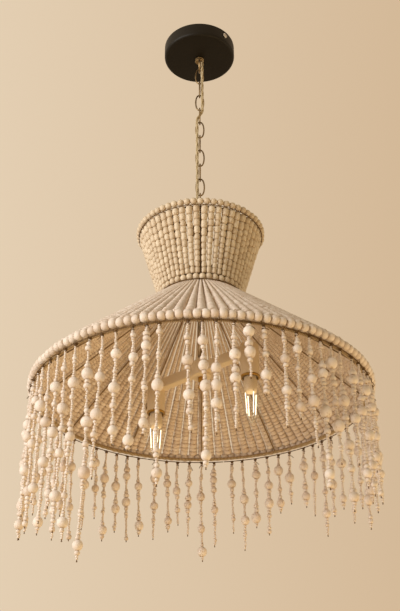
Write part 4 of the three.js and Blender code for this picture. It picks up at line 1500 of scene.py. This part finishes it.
glow = Finish("glowing strip")
phosphor = glow.noise(800.0)
glow.coat(
    Base_Color=glow.blend(phosphor, (1.0, 0.93, 0.72, 1), (1.0, 0.97, 0.84, 1)),
    Roughness=0.6,
    Emission_Color=glow.blend(phosphor, (1.0, 0.90, 0.66, 1), (1.0, 0.95, 0.78, 1)),
    Emission_Strength=1.45,
)

cap_metal = Finish("bulb cap")
scuffs = cap_metal.noise(400.0)
cap_metal.coat(
    Base_Color=cap_metal.blend(scuffs, (0.55, 0.51, 0.42, 1), (0.68, 0.64, 0.55, 1)),
    Metallic=1.0,
    Roughness=0.25 + scuffs * 0.2,
    Normal=cap_metal.bump(scuffs, 0.00004, 0.5),
)

envelope_profile = [(0, -bulb_length)]
envelope_profile += [(r * bulb_radius, -down * bulb_length) for down, r in reversed(bulb_outline_shares)]
inner_shares = bulb_outline_shares[:-1]
envelope_profile += [(r * bulb_radius - glass_wall, -down * bulb_length) for down, r in inner_shares]
envelope_profile += [(0, glass_wall - bulb_length)]
envelope = turned(envelope_profile, 64)

cap_thread = []
for z in np.linspace(cap_thread_ends[0], cap_length - cap_thread_ends[1], 25):
    wave = math.cos(2 * math.pi * z / cap_pitch)
    cap_thread.append((cap_radius - cap_groove + cap_groove * wave, z))
screw_cap = turned(cap_start + cap_thread + [(r, cap_length - down) for r, down in cap_tip], 40)
collar = turned(collar_outline, 40)

strips = []
wires = []
for k in range(strip_count):
    bearing = strip_turn + 360 / strip_count * k
    top = at(strip_spread[0] - strip_inset, strip_ends[0], bearing)
    foot = at(strip_spread[1], strip_ends[1], bearing)
    tail = at(tail_radius, strip_ends[1] - tail_length, bearing)
    bend = foot * bend_share + tail * (1 - bend_share) + at(bend_out, 0, bearing)
    hook = np.linspace(top + (0, 0, wire_rise), top + (foot - top) * wire_end_share, 3)
    strips.append(tube(np.linspace(top + (foot - top) * strip_start_share, foot, 9), strip_radius, 10))
    wires += [tube(line, strip_wire, 6) for line in (hook, even(through([foot, bend, tail]), wire_step))]

for side in ("right", "left"):
    place = lamp_places[side] @ Matrix.Translation((0, 0, bulb_top))
    body = f"lamp_{side}"
    glass_shape = placed(envelope, place)
    bulb = piece(f"glass_bulb_{side}", [glass_shape], glass, body, [f"bulb_{side}"], None)
    bulb.visible_shadow = False
    cap_shape = placed(screw_cap, place)
    piece(f"screw_cap_{side}", [cap_shape], cap_metal, body, [f"bulb_cap_{side}"])
    lit = [placed(strip, place) for strip in strips]
    piece(f"strips_{side}", lit, glow, body, [f"filament_{side}"], 60)
    fine = [placed(wire, place) for wire in wires]
    piece(f"strip_wires_{side}", fine, cap_metal, body, (), 60)
    piece(f"bulb_collar_{side}", [placed(collar, place)], enamel, body, (), 50)
    lamp = bpy.data.objects.new(f"glow_{side}", bpy.data.lights.new(f"glow_{side}", "POINT"))
    lamp.data.energy = glow_watts
    lamp.data.color = glow_tint
    lamp.data.shadow_soft_size = glow_radius
    lamp.location = (place @ Matrix.Translation((0, 0, sum(strip_ends) / 2))).translation
    lamp.parent = frame["bodies"][body]
    bpy.context.scene.collection.objects.link(lamp)


# Studio: a pale plaster floor far below, and the same plaster's colour all round, with painted light
# making it a little brighter to the left. Wide soft lamps light the shade from the left, the right and the
# floor.
floor_level = -2.40
floor_reach = 4.0
floor_depth = 0.05
# Painted light: the backdrop's colour runs from a lit tone on the left to a shaded tone on the right.
backdrop_lit_left = (0.790, 0.640, 0.465, 1)
backdrop_shaded_right = (0.640, 0.465, 0.295, 1)
backdrop_span = 0.25
air_colour = (0.91, 0.73, 0.46, 1)
air_strength = 0.48
aim_level = -0.6
# Each lamp: its place, its width, its watts and its tint.
studio_lamps = [
    ("left_lamp", (-1.9, -1.3, -0.4), 1.5, 51, (1.0, 0.97, 0.93)),
    ("right_lamp", (1.8, 0.3, -1.1), 1.8, 9, (1.0, 0.82, 0.56)),
    ("floor_lamp", (0.7, -0.4, -2.1), 1.6, 14, (1.0, 0.68, 0.30)),
]

plaster = Finish("pale plaster")
trowel = plaster.noise(3.0, detail=5.0)
plaster.coat(
    Base_Color=plaster.blend(trowel, (0.70, 0.585, 0.44, 1), (0.74, 0.62, 0.475, 1)),
    Roughness=0.9,
    Normal=plaster.bump(plaster.noise(30.0), 0.001, 0.3),
)
floor_foot = floor_level - floor_depth
floor_line = [(0, floor_foot), (floor_reach, floor_foot), (floor_reach, floor_level), (0, floor_level)]
floor_points, floor_faces = turned(floor_line, 96)
floor_mesh = bpy.data.meshes.new("floor")
floor_mesh.from_pydata(floor_points.tolist(), [], [face for group in floor_faces for face in group.tolist()])
floor_mesh.materials.append(plaster.material)
floor = bpy.data.objects.new("floor", floor_mesh)
bpy.context.scene.collection.objects.link(floor)

bpy.context.scene.world = bpy.data.worlds.new("studio")
studio = Finish("studio", bpy.context.scene.world)
toward = studio.node("ShaderNodeTexCoord", output="Generated")
across = studio.node("ShaderNodeSeparateXYZ", {}, {0: toward})
# Painted light: the blend from the lit left colour to the shaded right colour, across the backdrop.
span_ends = {"From Min": -backdrop_span, "From Max": backdrop_span}
painted_light_span = studio.node("ShaderNodeMapRange", {}, {"Value": across, **span_ends})
backdrop_colour = studio.blend(painted_light_span, backdrop_lit_left, backdrop_shaded_right)
backdrop = studio.node("ShaderNodeBackground", {}, {"Color": backdrop_colour})
air = studio.tree.nodes["Background"]
studio.feed(air.inputs["Color"], air_colour)
studio.feed(air.inputs["Strength"], air_strength)
direct = studio.node("ShaderNodeLightPath", output="Is Camera Ray")
mirrored = studio.node("ShaderNodeLightPath", output="Is Glossy Ray")
clear = studio.node("ShaderNodeLightPath", output="Is Transmission Ray")
either = studio.node("ShaderNodeMath", {"operation": "MAXIMUM"}, {0: mirrored, 1: clear})
shown = studio.node("ShaderNodeMath", {"operation": "MAXIMUM"}, {0: direct, 1: either})
choice = studio.node("ShaderNodeMixShader", {}, {0: shown, 1: Value(studio, air.outputs[0]), 2: backdrop})
studio.feed(studio.tree.nodes["World Output"].inputs["Surface"], choice)

for name, place, size, watts, tint in studio_lamps:
    light = bpy.data.objects.new(name, bpy.data.lights.new(name, "AREA"))
    light.data.size = size
    light.data.energy = watts
    light.data.color = tint
    light.location = place
    aim = Matrix.Translation((0, 0, aim_level)).translation - light.location
    light.rotation_euler = aim.to_track_quat("-Z", "Y").to_euler()
    bpy.context.scene.collection.objects.link(light)

bpy.context.scene.view_settings.view_transform = "Standard"
